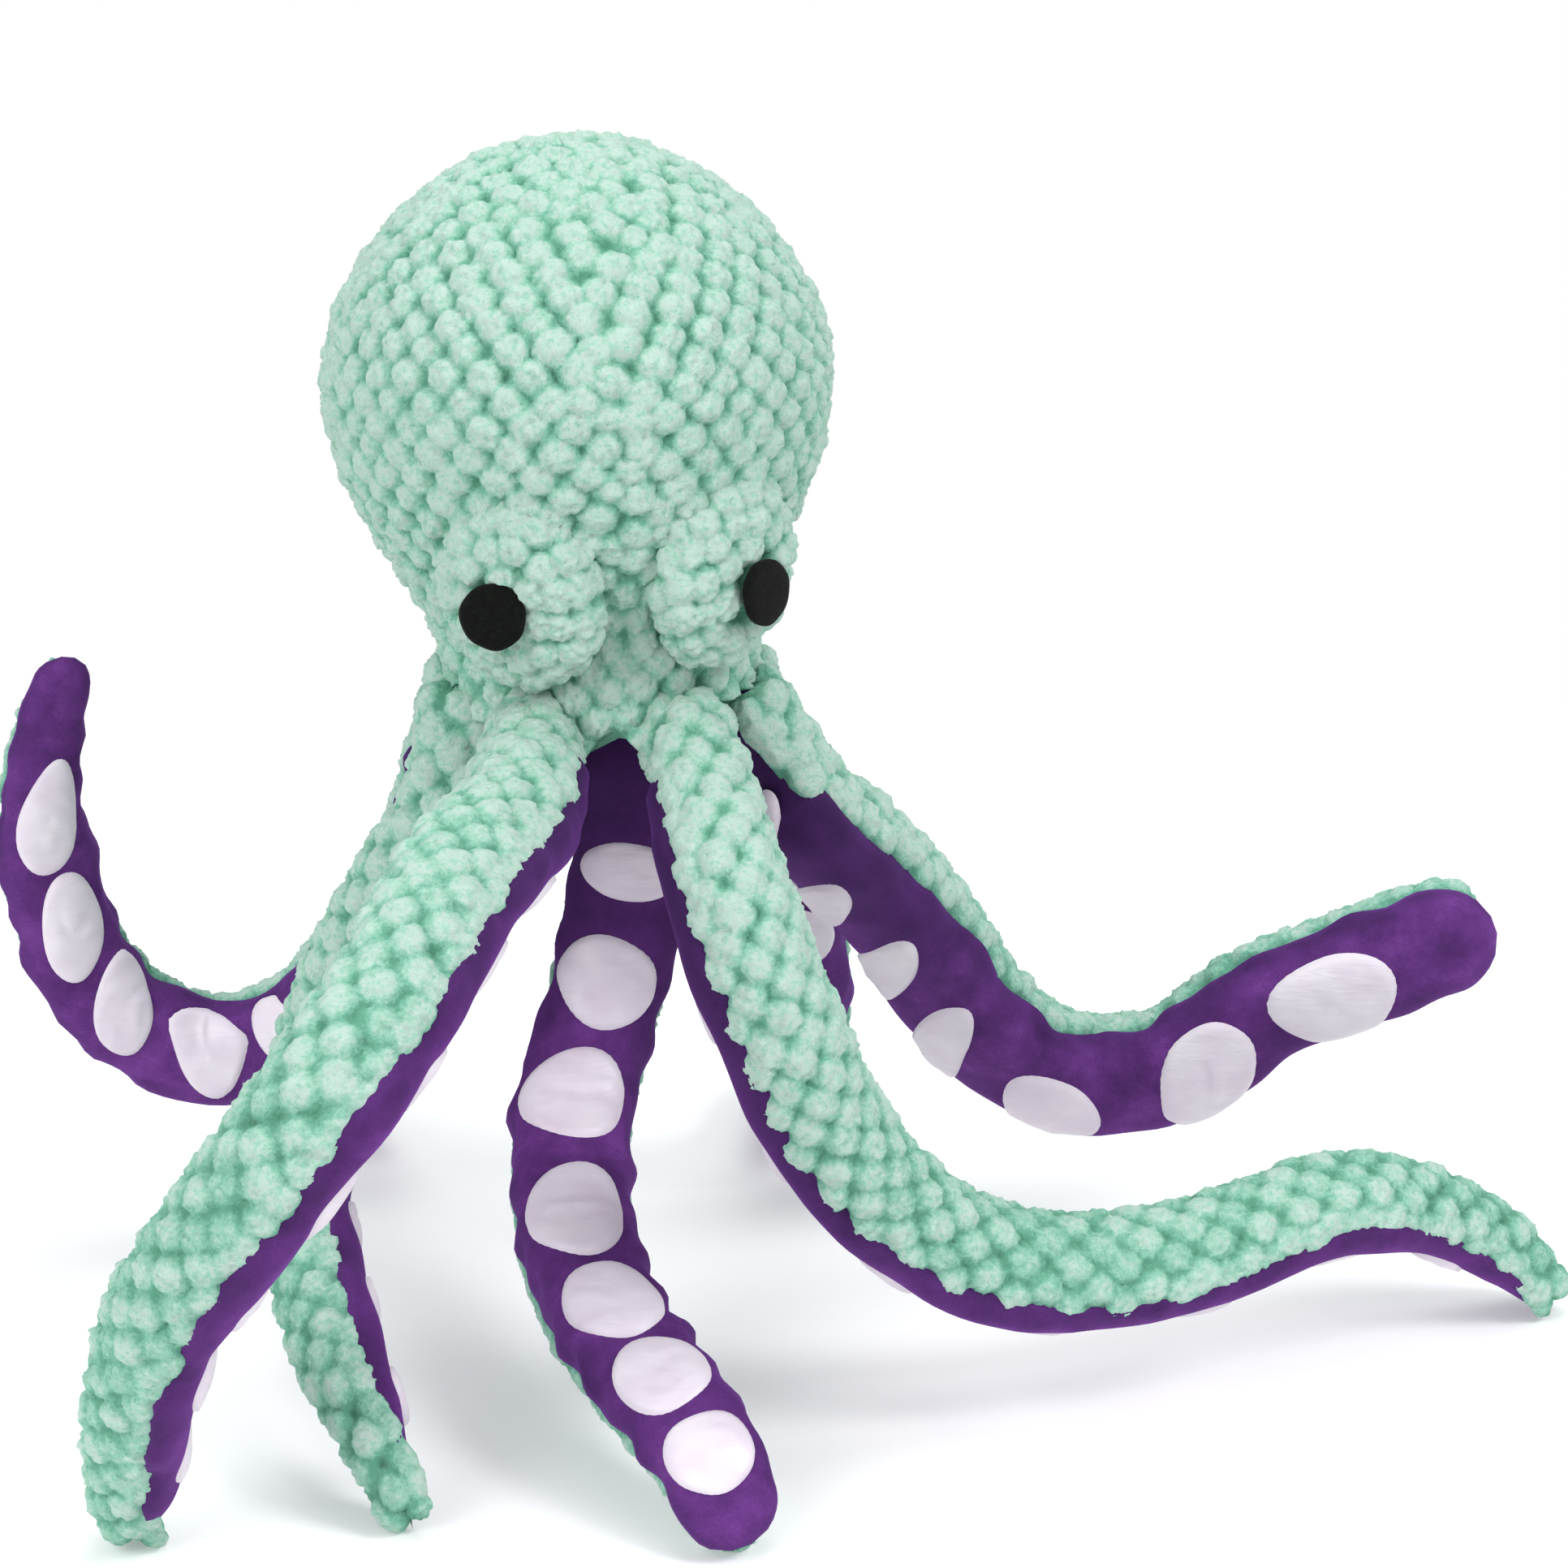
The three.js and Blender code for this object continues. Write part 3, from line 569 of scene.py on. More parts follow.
def head_profile():
    """Distance along the head's outline, its radius and its height, from the neck seam up."""
    rise = np.linspace(0, 1, 60)
    shares = np.array([row[0] for row in NECK_SWELL])
    swell = np.array([row[1] for row in NECK_SWELL])
    slopes = np.gradient(swell, shares)
    slopes[-1] = 0
    cell = np.clip(np.searchsorted(shares, rise, side="right") - 1, 0, len(shares) - 2)
    width = shares[cell + 1] - shares[cell]
    t = (rise - shares[cell]) / width
    smooth = (
        (2 * t**3 - 3 * t**2 + 1) * swell[cell] + (t**3 - 2 * t**2 + t) * width * slopes[cell]
        + (3 * t**2 - 2 * t**3) * swell[cell + 1] + (t**3 - t**2) * width * slopes[cell + 1]
    )
    low_radius = NECK_RADIUS + (HEAD_RADIUS - NECK_RADIUS) * smooth
    turn = np.linspace(0, math.pi / 2, 80)[1:]
    power = 2 / CROWN_FULLNESS
    high_radius = HEAD_RADIUS * np.maximum(np.cos(turn), 0) ** power
    high = WAIST_HEIGHT + (HEAD_HEIGHT - WAIST_HEIGHT) * np.sin(turn) ** power
    radius = np.concatenate([low_radius, high_radius])
    height = np.concatenate([rise * WAIST_HEIGHT, high])
    kept = height >= NECK_SEAM - 0.002
    radius, height = radius[kept], height[kept]
    steps = np.hypot(np.diff(radius), np.diff(height))
    return np.concatenate([[0], np.cumsum(steps)]), radius, height


PROFILE = head_profile()


def outline(along):
    """Radius and height of the head's outline, straight down below the neck seam."""
    distance, radius, height = PROFILE
    return np.interp(along, distance, radius), np.interp(along, distance, height) + np.minimum(along, 0)


def web_drop(azimuth):
    """How far below the neck seam the fleece hangs: a flap on each side of the gap between the front arms."""
    aside = np.abs((np.degrees(azimuth) - RING_TURN + 180) % 360 - 180)
    return WEB_LENGTH * np.interp(aside, [0, WEB_TURN, 2 * WEB_TURN, 3 * WEB_TURN], [0, 1, 1, 0])


def head_point(azimuth, along, out=0.0):
    """A point of the upright head's surface and its outward normal."""
    r, z = outline(along)
    step = 0.001
    (low_r, low_z), (high_r, high_z) = outline(along - step), outline(along + step)
    dr, dz = high_r - low_r, high_z - low_z
    size = np.maximum(np.hypot(dr, dz), 1e-9)
    nr, nz = dz / size, -dr / size
    sine, cosine = np.sin(azimuth), -np.cos(azimuth)
    normal = np.stack([nr * sine, nr * cosine, nz + 0 * sine], -1)
    return np.stack([r * sine, r * cosine, z + 0 * sine], -1) + normal * out, normal


def gore_bumps(middle):
    """Places on the head of one panel's bumps, in columns along the panel's middle."""
    half = math.pi / 4
    total = PROFILE[0][-1]
    alongs, turns = [], []
    for row in range(-2, int(total / BUMP_ROW) + 1):
        along = row * BUMP_ROW + 0.001
        radius = max(np.interp(along, PROFILE[0], PROFILE[1]) - BUMP_INSET, 0.001)
        if total - along < CROWN_REACH:
            break
        edge = radius * half - BUMP_RADIUS * 0.5
        for across in staggered(row, edge, 0.33):
            if along < -web_drop(middle + across / radius) - 0.001:
                continue
            near_seam = abs(across) > edge - 0.002
            alongs.append(along + (rng.uniform(-0.0014, 0.0014) if near_seam else 0))
            turns.append(middle + across / radius)
    along, turn = np.array(alongs), np.array(turns)
    along += rng.normal(0, 0.0003, len(along))
    turn += rng.normal(0, 0.0003, len(turn)) / np.maximum(np.interp(along, PROFILE[0], PROFILE[1]), 0.004)
    return lean(head_point(turn, along)[0])


def crown_bumps():
    """Bumps on top of the head, in rings round the point where the panels meet."""
    total = PROFILE[0][-1]
    alongs, turns = [total - 0.0002], [0.0]
    for ring in range(1, 1 + int(CROWN_REACH / BUMP_ROW / CROWN_ROW)):
        reach = ring * BUMP_ROW * CROWN_ROW
        count = round(2 * math.pi * reach / (BUMP_PITCH * CROWN_PITCH))
        alongs += [total - reach] * count
        turns += [2 * math.pi * (index + ring / 2) / count for index in range(count)]
    return lean(head_point(np.array(turns), np.array(alongs))[0])


def head_bumps():
    """Every bump of the head's cloth."""
    centres = np.concatenate([crown_bumps()] + [gore_bumps(middle) for middle in GORE_MIDDLES])
    alongs, turns = np.meshgrid(np.linspace(0, PROFILE[0][-1], 90), np.linspace(0, 2 * math.pi, 260))
    cloth = lean(head_point(turns.ravel(), alongs.ravel())[0])
    centres = filled(thinned(centres), cloth)
    # Painted shade: bumps darker the nearer they lie to the neck seam
    low = np.clip(1 - (centres[:, 2] - NECK_SEAM) / (WAIST_HEIGHT - NECK_SEAM), 0, 1)
    return varied(centres, HEAD_BUMP, NECK_PAINTED_SHADE * low)


def head_gore(name, middle, bumps):
    """One of the four fleece panels, from seam to seam, among the bumps of the whole head."""
    half = math.pi / 4
    total = PROFILE[0][-1]
    alongs = np.linspace(0, total - 0.0002, int(total / SKIN_STEP))
    lap = SEAM_OVERLAP / HEAD_RADIUS
    aside = np.linspace(-half - lap, half + lap, int(2 * half * HEAD_RADIUS / SKIN_STEP))
    turns = middle + aside
    grid_along, grid_turn = np.meshgrid(alongs, turns, indexing="ij")
    grid_along = grid_along - web_drop(grid_turn) * (1 - grid_along / total)
    sink = SEAM_SINK * np.clip((np.abs(aside) - half + lap) / (2 * lap), 0, 1)
    place, normal = head_point(grid_turn, grid_along)
    hidden = middle + np.linspace(half * 0.98, -half * 0.98, 9)
    hidden_along, hidden_turn = np.meshgrid(alongs, hidden, indexing="ij")
    hidden_along = hidden_along - web_drop(hidden_turn) * (1 - hidden_along / total)
    behind = head_point(hidden_turn, hidden_along, -SKIN_INSET - 0.0014)[0]
    part = fleece(lean(place), lean(normal), bumps, lean(behind), sink=sink)
    piece = make_piece(f"head_gore_{name}", "mint_fleece", [part])
    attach(piece, "head")
    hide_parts(f"head_panel_{name}")


def head_frame(turn, height):
    """Origin and axes (across, up, out) of a place on the head's side."""
    azimuth = math.radians(turn + FACE_TURN)
    radius = NECK_RADIUS + (HEAD_RADIUS - NECK_RADIUS) * table(NECK_SWELL, height / WAIST_HEIGHT)
    rise = (NECK_SWELL[3][0] - NECK_SWELL[1][0]) * WAIST_HEIGHT
    run = (NECK_SWELL[3][1] - NECK_SWELL[1][1]) * (HEAD_RADIUS - NECK_RADIUS)
    out = unit(np.array([math.sin(azimuth), -math.cos(azimuth), -PAD_SLOPE * run / rise]))
    across = np.array([math.cos(azimuth), math.sin(azimuth), 0])
    up = np.cross(out, across)
    place = np.array([math.sin(azimuth) * radius, -math.cos(azimuth) * radius, height])
    return lean(place), lean(across), lean(up), lean(out)


def pad_place(axes, x, y, z):
    """A place on an eye pad from its distances across, up and out."""
    origin, across, up, out = axes
    return origin + x[..., None] * across + y[..., None] * up + (z - PAD_SINK)[..., None] * out


def pad_height(x, y):
    """How far the cushion of an eye pad stands out at distances across and up it."""
    rim = np.minimum(np.hypot(x / PAD_SIZE[0], y / PAD_SIZE[1]), 1)
    return PAD_SIZE[2] * np.sqrt(1 - rim**PAD_FULLNESS)


def eye_pad(name, hand):
    """A stuffed fleece pad, domed, with its bumps in rings and a full rim."""
    axes = head_frame(hand * PAD_TURN, PAD_HEIGHT)
    tilt = np.linspace(0.001, math.pi / 2, 200)
    rim = np.concatenate([np.sin(tilt) ** (2 / PAD_FULLNESS), [0.97, 0.9]])
    rise = np.concatenate([np.cos(tilt) * PAD_SIZE[2], [-0.0035, -0.0065]])
    steps = np.concatenate([[0], np.cumsum(np.hypot(np.diff(rim) * PAD_SIZE[1], np.diff(rise)))])
    even = np.linspace(0, steps[-1], int(steps[-1] / SKIN_STEP))
    rim, rise = np.interp(even, steps, rim), np.interp(even, steps, rise)
    turns = np.linspace(0, 2 * math.pi, int(2 * math.pi * PAD_SIZE[1] / SKIN_STEP), endpoint=False)
    x, y = np.outer(rim, np.cos(turns)) * PAD_SIZE[0], np.outer(rim, np.sin(turns)) * PAD_SIZE[1]
    places = pad_place(axes, x, y, np.broadcast_to(rise[:, None], x.shape))
    away = places - (axes[0] - axes[3] * PAD_SIZE[2])
    xs, ys, sizes = [], [], []
    for share, count, size in PAD_RINGS:
        for index in range(count):
            turn = 2 * math.pi * (index + rng.uniform(-0.12, 0.12)) / count + share * 5
            xs.append(PAD_SIZE[0] * (share + rng.normal(0, 0.012)) * math.cos(turn))
            ys.append(PAD_SIZE[1] * (share + rng.normal(0, 0.012)) * math.sin(turn))
            sizes.append(size)
    xs, ys, sizes = np.array(xs), np.array(ys), np.array(sizes)
    centres = pad_place(axes, xs, ys, pad_height(xs, ys))
    clear = np.linalg.norm(centres - eye_centre(hand)[0], axis=1) > EYE_RADIUS
    # Painted light: the pad's bumps a little lighter
    part = fleece(places, away, varied(centres[clear], sizes[clear], PAD_PAINTED_LIGHT))
    piece = make_piece(f"eye_pad_fleece_{name}", "mint_fleece", [part])
    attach(piece, "head")
    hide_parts(f"eye_pad_{name}")


def eye_centre(hand):
    """Where an eye lies on its pad: its place, the way it faces and two directions on it."""
    axes = head_frame(hand * PAD_TURN, PAD_HEIGHT)
    origin, across, up, _ = axes
    target = head_frame(hand * EYE_TURN, EYE_HEIGHT - EYE_DROPS[hand])[0]
    x, y = (target - origin) @ across, (target - origin) @ up
    place = pad_place(axes, np.array(x), np.array(y), pad_height(x, y))
    azimuth = math.radians(hand * EYE_LOOKS[hand] + FACE_TURN)
    facing = unit(np.array([math.sin(azimuth), -math.cos(azimuth), EYE_LIFT]))
    side = unit(np.cross(up, facing))
    return place, facing, side, np.cross(facing, side)


def felt_eye(name, hand):
    """A slightly domed felt disc with a rounded, uneven edge."""
    place, normal, across, up = eye_centre(hand)
    columns = 40
    points = []
    for share, level in FELT_ROWS:
        for column in range(columns):
            turn = 2 * math.pi * column / columns
            edge = 1 + 0.018 * math.sin(3 * turn + hand) + 0.012 * math.sin(7 * turn)
            radius = EYE_RADIUS * share * edge
            points.append(place + across * radius * math.cos(turn) + up * radius * math.sin(turn)
                          + normal * (level * FELT_THICK + FELT_STAND))
    piece = make_piece(f"eye_felt_{name}", "black_felt", [
        (np.array(points), grid_faces(len(FELT_ROWS), columns, around=True), 1.0)])
    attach(piece, "head")
    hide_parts(f"eye_{name}")


# Arms

def curve_points(points, steps=40):
    """Centripetal curve through the points, finely sampled."""
    points = [np.asarray(point, float) for point in points]
    points = [2 * points[0] - points[1], *points, 2 * points[-1] - points[-2]]
    samples = []
    for p0, p1, p2, p3 in zip(points, points[1:], points[2:], points[3:]):
        d0, d1, d2 = (max(np.linalg.norm(b - a) ** 0.5, 1e-9) for a, b in ((p0, p1), (p1, p2), (p2, p3)))
        m1 = ((p1 - p0) / d0 - (p2 - p0) / (d0 + d1) + (p2 - p1) / d1) * d1
        m2 = ((p2 - p1) / d1 - (p3 - p1) / (d1 + d2) + (p3 - p2) / d2) * d1
        for t in np.linspace(0, 1, steps, endpoint=False):
            samples.append(p1 + m1 * t + (3 * (p2 - p1) - 2 * m1 - m2) * t**2
                           + (2 * (p1 - p2) + m1 + m2) * t**3)
    samples.append(points[-2])
    return np.array(samples)


class Arm:
    """One arm's centre line and the directions and sizes of its sections."""

    def __init__(self, side, row):
        self.side, self.row, self.name = side, row, row.name
        self.belly_rows = np.array(row.belly, float)
        turn = FACE_GAP / 2 + side * (360 - FACE_GAP) / (len(ARMS) - 1) + RING_TURN
        azimuth = math.radians(turn)
        self.root = np.array([math.sin(azimuth), -math.cos(azimuth), 0]) * RING_RADIUS
        points = [np.array([x * REACH, y * REACH, (z - 1) * STANCE]) for x, y, z in row.route]
        self.trace(points)
        for _ in range(SETTLE_PASSES if row.stands else 0):
            drop = self.lowest() + STANCE + FOOT_CUT
            for index, point in enumerate(points):
                point[2] -= drop * ((index + 1) / len(points)) ** 2
            self.trace(points)

    def trace(self, points):
        """Lays the centre line through the points, from the root."""
        self.line = curve_points([self.root, *points])
        steps = np.linalg.norm(np.diff(self.line, axis=0), axis=1)
        self.distances = np.concatenate([[0], np.cumsum(steps)])
        self.length = self.distances[-1]

    def lowest(self):
        """Height of the lowest point of the skin."""
        places = np.linspace(0, self.length * 0.999, 60)
        turns = np.linspace(0, 2 * math.pi, 24, endpoint=False)
        grid_place, grid_turn = np.meshgrid(places, turns, indexing="ij")
        return self.surface(grid_place.ravel(), grid_turn.ravel())[:, 2].min()

    def centre_at(self, places):
        """Points of the centre line at distances from the root, none past its ends."""
        inside = np.clip(places, 0, self.length)
        return np.stack([np.interp(inside, self.distances, self.line[:, i]) for i in range(3)], -1)

    def axes(self, places):
        """Centre, along, belly and across at distances from the root."""
        inside = np.clip(places, 0, self.length)
        reach = 0.004
        along = unit(self.centre_at(inside + reach) - self.centre_at(inside - reach))
        centre = self.centre_at(inside) + along * (places - inside)[:, None]
        rows = inside / self.length * (len(self.belly_rows) - 1)
        low = np.minimum(rows.astype(int), len(self.belly_rows) - 2)
        t = (rows - low)[:, None]
        t = t * t * (3 - 2 * t)
        belly = self.belly_rows[low] * (1 - t) + self.belly_rows[low + 1] * t
        belly = unit(belly - along * np.sum(belly * along, axis=1, keepdims=True))
        return centre, along, belly, np.cross(belly, along)

    def sizes(self, places):
        """Half width, back rise and belly drop at distances from the root."""
        share = np.clip(places / self.length, 0, 1)
        full = ARM_HALF * self.row.girth
        tip = TIP_HALF * self.row.girth * self.row.tip
        swell = ROOT_RADIUS + (full - ROOT_RADIUS) * table(SWELL, share)
        half = swell + (tip - swell) * table(TAPER, share)
        root_cap = np.clip(-places / ROOT_RADIUS, 0, 1)
        tip_cap = np.clip((places - (self.length - tip)) / tip, 0, 1)
        cap = np.sqrt(np.maximum(1 - root_cap**2, 0)) * np.sqrt(np.maximum(1 - tip_cap**2, 0))
        return half * cap, half * table(BACK_RISE, share) * cap, half * table(BELLY_DROP, share) * cap

    def surface(self, places, turns, grow=0.0):
        """Points of the skin; turn 0 is one seam, a quarter is the belly, three quarters the back."""
        centre, _, belly, across = self.axes(places)
        half, back, drop = self.sizes(places)
        cosine, sine = np.cos(turns), np.sin(turns)
        power = np.where(sine > 0, BELLY_POWER, 1.0)
        side = np.sign(cosine) * np.abs(cosine) ** power
        rise = np.sign(sine) * np.abs(sine) ** power
        height = np.where(sine > 0, drop, back)
        return (centre + across * (side * np.maximum(half + grow, 0))[:, None]
                + belly * (rise * np.maximum(height + grow, 0))[:, None])

    def collar(self, place):
        """How much further round, in radians on each side, the fleece reaches near the root and the tip."""
        length, turn = COLLARS.get(self.name, PLAIN_COLLAR)
        root = math.radians(turn) * np.clip(1 - place / length, 0, 1)
        tip = math.radians(TIP_HOODS.get(self.name, 0)) * np.clip(1 - (self.length - place) / TIP_HOOD_LENGTH, 0, 1)
        return root + tip

    def bend(self, piece):
        """Bakes the piece's transform into its mesh."""
        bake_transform(piece)


def arm_bumps(arm):
    """The bumps on an arm's back, in staggered rows from seam to seam."""
    places, turns = [], []
    row, place = 0, -0.003
    while place < arm.length - 0.003:
        half, back, _ = (max(size[0] - BUMP_INSET, 0.001) for size in arm.sizes(np.array([place])))
        arc = math.pi * math.sqrt((half**2 + back**2) / 2)
        edge = arc / 2 - arm.row.seam + arc * arm.collar(place) / math.pi
        for across in staggered(row, edge, 0.4):
            places.append(place)
            turns.append(math.pi * (1.5 + across / arc))
        around = np.array([place - 0.001, place + 0.001])
        spread = np.linalg.norm(np.diff(arm.surface(around, np.full(2, 1.5 * math.pi)), axis=0)) / 0.002
        place += BUMP_ROW / max(spread, 0.6)
        row += 1
    places = np.minimum(np.array(places) + rng.normal(0, 0.0004, len(places)), arm.length - 0.0005)
    turns = np.array(turns) + rng.normal(0, 0.03, len(turns))
    if arm.row.stands:
        places, turns = np.append(places, arm.length - TIP_BUMP), np.append(turns, 1.5 * math.pi)
    # Painted shade: the bumps' tone darker towards the tip
    return varied(arm.surface(places, turns), ARM_BUMP, table(ARM_PAINTED_SHADE, places / arm.length))


def arm_back(arm):
    """The mint back of an arm: one closed form whose bumps hang over the seams."""
    tip = arm.length - TIP_LENGTH
    places = np.concatenate([
        np.linspace(-ROOT_RADIUS * 0.6, tip, int(tip / SKIN_STEP)),
        tip + TIP_LENGTH * np.sin(np.linspace(0.06, math.pi / 2 - 0.02, 18))])
    shares = np.linspace(-1, 1, 64)
    reach = math.pi / 2 + math.radians(14) + arm.collar(places)
    grid_turn = 1.5 * math.pi + np.outer(reach, shares)
    grid_place = np.repeat(places[:, None], len(shares), axis=1)
    rounding = np.sqrt(np.clip((1 - np.abs(shares)) / EDGE_ROUND, 0, 1))
    outer = arm.surface(grid_place.ravel(), grid_turn.ravel()).reshape(*grid_turn.shape, 3)
    centre, along, _, _ = arm.axes(grid_place.ravel())
    away = outer - centre.reshape(outer.shape) + along.reshape(outer.shape) * 0.001
    hidden_turn = 1.5 * math.pi + np.outer(reach, np.linspace(0.9, -0.9, 7))
    hidden_place = np.repeat(places[:, None], 7, axis=1)
    behind = arm.surface(hidden_place.ravel(), hidden_turn.ravel(), -0.0055).reshape(-1, 7, 3)
    piece = make_piece(f"arm_{arm.name}_fleece", "mint_fleece", [
        fleece(outer, away, arm_bumps(arm), behind, rounding)])
    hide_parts(f"arm_{arm.name}_back")
    arm.bend(piece)


def arm_belly(arm):
    """The purple belly: a closed form, puckered along its seams and softly rumpled, with painted shade along its
    seams and towards the root.
    """
    places = np.concatenate([np.linspace(-ROOT_RADIUS * 0.6, arm.length - 0.011, 110),
                             arm.length - 0.0095 * np.cos(np.linspace(0.25, math.pi / 2, 8)) - 0.0002])
    turns = np.radians(np.concatenate([np.linspace(0, 180, 27), np.linspace(200, 340, 8)]))
    grid_place, grid_turn = np.meshgrid(places, turns, indexing="ij")
    flat_place, flat_turn = grid_place.ravel(), grid_turn.ravel()
    grow = np.where(np.sin(flat_turn) < -0.05, -0.0045, 0.0)
    grow = grow - 0.005 * np.minimum(arm.collar(flat_place), 1)
    points = arm.surface(flat_place, flat_turn, grow)
    centre = arm.axes(flat_place)[0]
    outward = unit(points - centre)
    seam = np.exp(-((np.sin(flat_turn) / 0.45) ** 2))
    ends = np.clip(flat_place / 0.02, 0, 1) * np.clip((arm.length - flat_place) / 0.02, 0, 1)
    pucker = ripple(points, 0.013, arm.side + 20) * 0.0011 * seam + ripple(points, 0.026, arm.side + 40) * 0.0006
    points = points + outward * (pucker * ends)[:, None]
    # Painted shade: the belly darker along its seams, under the fleece, and towards the root; the ripple is random
    # tone
    shade = 1 - 0.35 * seam + 0.1 * ripple(points, 0.02, arm.side + 60)
    shade *= table(ROOT_SHADE, flat_place / arm.length)
    faces = grid_faces(len(places), len(turns), around=True) + end_caps(len(places), len(turns))
    piece = make_piece(f"arm_{arm.name}_velboa", "purple_velboa", [(points, faces, shade)])
    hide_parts(f"arm_{arm.name}_belly")
    arm.bend(piece)


def belly_arc():
    """Distances round the belly from its middle, in half widths, and the turns where they end."""
    turns = np.linspace(math.pi, 0, 181)
    x = np.sign(np.cos(turns)) * np.abs(np.cos(turns)) ** BELLY_POWER
    y = BELLY_DROP[1][1] * np.abs(np.sin(turns)) ** BELLY_POWER
    steps = np.concatenate([[0], np.cumsum(np.hypot(np.diff(x), np.diff(y)))])
    return steps - steps[-1] / 2, turns


BELLY_ARC = belly_arc()


def arm_suckers(arm):
    """Seven uneven ovals of satin, puffed a little through the belly."""
    parts = []
    for index, share in enumerate(arm.row.suckers):
        middle = share * arm.length
        ease = arm.sizes(np.array([middle]))[0][0] / ARM_HALF
        phases = rng.uniform(0, 2 * math.pi, 3)
        points = []
        for ring in range(SUCKER_RINGS + 1):
            radius = ring / SUCKER_RINGS
            for side in range(SUCKER_SIDES):
                turn = 2 * math.pi * side / SUCKER_SIDES
                edge = 1 + 0.035 * math.sin(2 * turn + phases[0]) + 0.03 * math.sin(3 * turn + phases[1]) \
                    + 0.012 * math.sin(5 * turn + phases[2])
                points.append((radius * edge * math.cos(turn), radius * edge * math.sin(turn), radius))
        local = np.array(points)
        half = arm.sizes(np.array([middle]))[0][0]
        changes = np.array(SUCKER_CHANGES.get(arm.name, PLAIN_SUCKERS), float)
        slide, wide, long, slant = (np.interp(share, changes[:, 0], changes[:, column]) for column in (1, 2, 3, 4))
        across = local[:, 0] * SUCKER_HALF_WIDTH * wide * ease
        turn = np.interp(across / half + slide, *BELLY_ARC)
        near = [arm.surface(np.full(len(turn), middle + step), turn) for step in (-0.001, 0.001)]
        spread = np.linalg.norm(near[1] - near[0], axis=1) / 0.002
        place = middle + local[:, 1] * SUCKER_HALF_LENGTH * long * ease / np.clip(spread, 0.5, 2) + slant * across
        dome = SUCKER_PUFF * (1 - local[:, 2] ** 2.5) + np.where(local[:, 2] > 0.99, -0.0009, 0.0004)
        wrinkle = 0.00022 * np.sin(place / 0.0016 + 3 * ripple(local, 1.3, arm.side * 9 + index)) \
            * (1 - local[:, 2] ** 2)
        points = arm.surface(place, turn, dome + wrinkle)
        parts.append((points, grid_faces(SUCKER_RINGS + 1, SUCKER_SIDES, around=True), 1.0))
    piece = make_piece(f"arm_{arm.name}_satin", "white_satin", parts)
    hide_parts(f"arm_{arm.name}_suckers")
    arm.bend(piece)


def base_web():
    """The purple underside between the arms, drawn up to a peak and creased towards each gap, with painted shade in
    the creases' troughs.
    """
    rows, columns = 12, 96
    points, tones = [], []
    for row in range(rows):
        share = row / (rows - 1)
        for column in range(columns):
            turn = 2 * math.pi * column / columns
            radius = share * (NECK_RADIUS - 0.0035)
            crease = 0.0012 * math.sin(9 * turn + 5 * share) * share
            height = NECK_SEAM - 0.0012 - 0.0025 * (1 - share**2) + crease
            points.append((radius * math.sin(turn), -radius * math.cos(turn), height))
            # Painted shade: darker in the troughs of the creases, lighter on their ridges
            tones.append(0.55 + 0.2 * math.sin(9 * turn + 5 * share))
    top = [(x, y, z + 0.0012) for x, y, z in points]
    count = len(points)
    faces = [tuple(reversed(face)) for face in grid_faces(rows, columns, around=True)]
    faces += [tuple(index + count for index in face) for face in grid_faces(rows, columns, around=True)]
    last = (rows - 1) * columns
    for column in range(columns):
        a, b = last + column, last + (column + 1) % columns
        faces.append((a, b, b + count, a + count))
    piece = make_piece("base_web", "purple_velboa", [(lean(np.array(points + top)), faces, np.array(tones * 2))])
    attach(piece, "head")
    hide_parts("base_disc")


def arm_stuffing(arm):
    """The loose fibre inside an arm, a little lumpy."""
    places = np.linspace(STUFFING_START, arm.length - 0.006, 60)
    turns = np.linspace(0, 2 * math.pi, 20, endpoint=False)
    grid_place, grid_turn = np.meshgrid(places, turns, indexing="ij")
    points = arm.surface(grid_place.ravel(), grid_turn.ravel(), -0.0052)
    outward = unit(points - arm.axes(grid_place.ravel())[0])
    points = points + outward * (ripple(points, 0.02, arm.side + 80) * 0.0005)[:, None]
    faces = grid_faces(len(places), len(turns), around=True) + end_caps(len(places), len(turns))
    piece = make_piece(f"arm_{arm.name}_stuffing", "fibre_fill", [(points, faces, 1.0)])
    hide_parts(f"arm_{arm.name}_filling")
    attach(piece, f"arm_{arm.name}")


def dress_head_filling():
    """The head's stuffing keeps its frame solid and gets the fibre's material."""
    filling = frame["nodes"]["head_filling"]
    filling.data.materials.clear()
    filling.data.materials.append(MATERIALS["fibre_fill"])


# Studio

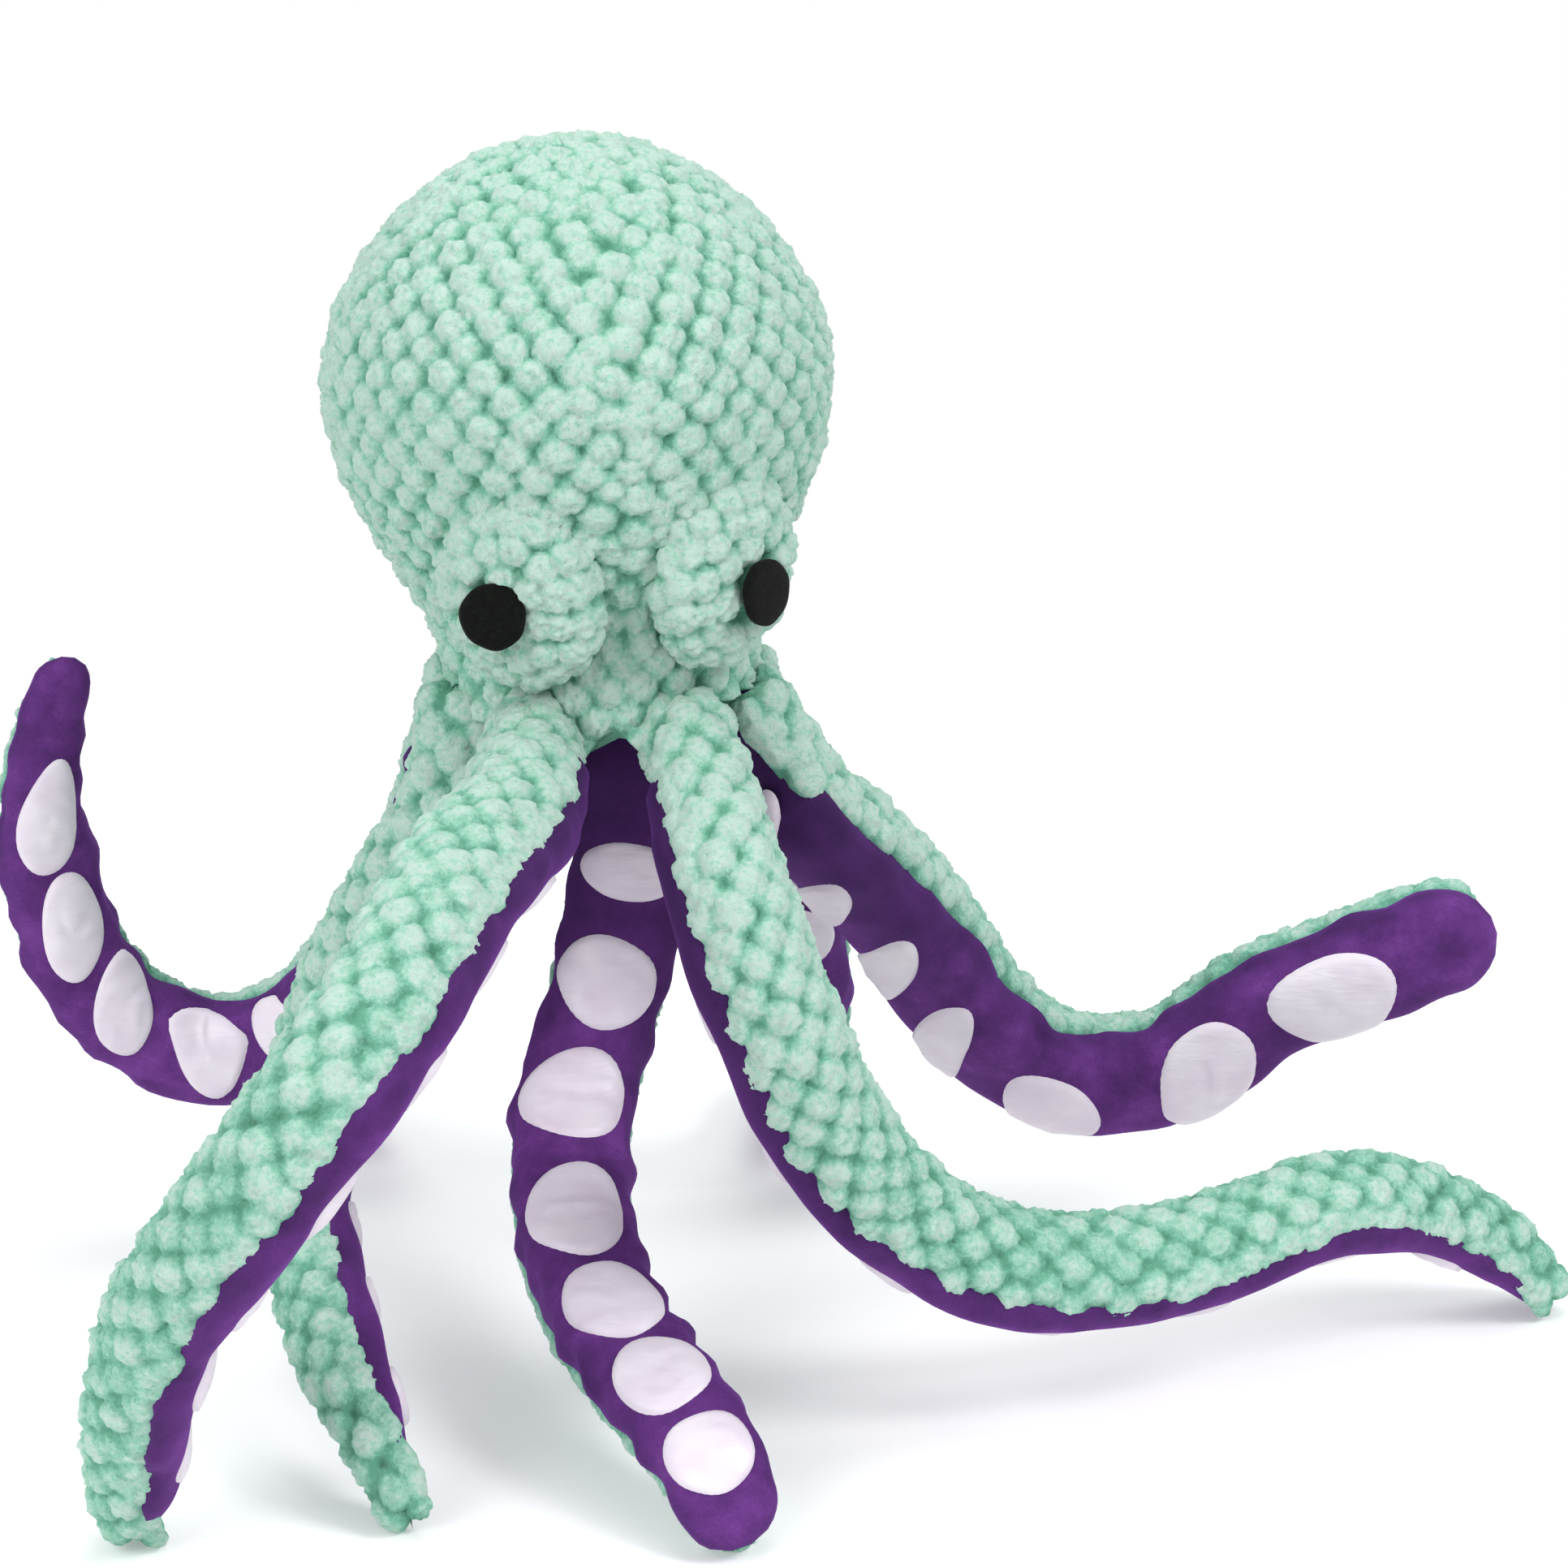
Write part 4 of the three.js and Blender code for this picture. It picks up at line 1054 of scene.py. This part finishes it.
def studio():
    """White floor and backdrop, soft lamps and the camera."""
    bpy.ops.mesh.primitive_plane_add(size=3, location=(0, 0, -0.0004))
    floor = bpy.context.object
    floor.name = "floor"
    material, tree, shader = new_material("floor_white")
    grain = noise(tree, 0.4, 1.0)
    tint = ramp(tree, grain.outputs["Fac"], [(0.0, (0.84, 0.84, 0.845)), (1.0, (0.86, 0.86, 0.86))])
    tree.links.new(tint.outputs["Color"], shader.inputs["Base Color"])
    set_inputs(shader, {"Roughness": 1.0, "Specular IOR Level": 0.0})
    glow = tree.nodes.new("ShaderNodeEmission")
    set_inputs(glow, {"Strength": 0.18})
    lit = tree.nodes.new("ShaderNodeAddShader")
    tree.links.new(shader.outputs[0], lit.inputs[0])
    tree.links.new(glow.outputs[0], lit.inputs[1])
    places = tree.nodes.new("ShaderNodeTexCoord")
    reach = node(tree, "ShaderNodeVectorMath", operation="LENGTH")
    tree.links.new(places.outputs["Object"], reach.inputs[0])
    fade = node(tree, "ShaderNodeMapRange", interpolation_type="SMOOTHSTEP")
    set_inputs(fade, {"From Min": FLOOR_FADE[0], "From Max": FLOOR_FADE[1]})
    tree.links.new(reach.outputs["Value"], fade.inputs["Value"])
    clear = tree.nodes.new("ShaderNodeBsdfTransparent")
    edge = tree.nodes.new("ShaderNodeMixShader")
    tree.links.new(fade.outputs[0], edge.inputs["Fac"])
    tree.links.new(lit.outputs[0], edge.inputs[1])
    tree.links.new(clear.outputs[0], edge.inputs[2])
    tree.links.new(edge.outputs[0], tree.nodes["Material Output"].inputs["Surface"])
    floor.data.materials.append(material)

    world = bpy.data.worlds.new("studio")
    bpy.context.scene.world = world
    world.use_nodes = True
    tree = world.node_tree
    soft = tree.nodes["Background"]
    set_inputs(soft, {"Color": (0.95, 0.98, 1, 1), "Strength": 0.66})
    white = node(tree, "ShaderNodeBackground", Strength=1.0)
    set_inputs(white, {"Color": (1, 1, 1, 1)})
    seen = tree.nodes.new("ShaderNodeLightPath")
    either = tree.nodes.new("ShaderNodeMixShader")
    tree.links.new(seen.outputs["Is Camera Ray"], either.inputs["Fac"])
    tree.links.new(soft.outputs[0], either.inputs[1])
    tree.links.new(white.outputs[0], either.inputs[2])
    tree.links.new(either.outputs[0], tree.nodes["World Output"].inputs["Surface"])

    for name, place, size, power in LAMPS:
        data = bpy.data.lights.new(name, "AREA")
        data.size, data.energy = size, power
        lamp = bpy.data.objects.new(name, data)
        lamp.location = place
        lamp.rotation_euler = (Vector(LAMP_TARGET) - Vector(place)).to_track_quat("-Z", "Y").to_euler()
        bpy.context.collection.objects.link(lamp)

    data = bpy.data.cameras.new("view")
    data.sensor_width, data.lens = 36, CAMERA_LENS
    data.clip_start = 0.05
    camera = bpy.data.objects.new("view", data)
    camera.location = MIDDLE + np.array(CAMERA_PLACE)
    camera.rotation_euler = (math.radians(90 - CAMERA_DROP), 0, 0)
    bpy.context.collection.objects.link(camera)
    bpy.context.scene.camera = camera
    bpy.context.scene.view_settings.view_transform = "Standard"


studio()
GORES = [("front_right", 45), ("back_right", 135), ("back_left", 225), ("front_left", 315)]
GORE_MIDDLES = [math.radians(turn + FACE_TURN) for _, turn in GORES]
cloth_bumps = head_bumps()
for (gore, _), middle in zip(GORES, GORE_MIDDLES):
    head_gore(gore, middle, cloth_bumps)
for side, hand in (("left", -1), ("right", 1)):
    eye_pad(side, hand)
    felt_eye(side, hand)
base_web()
dress_head_filling()
for index, row in enumerate(ARMS):
    arm = Arm(index, row)
    arm_back(arm)
    arm_belly(arm)
    arm_suckers(arm)
    arm_stuffing(arm)
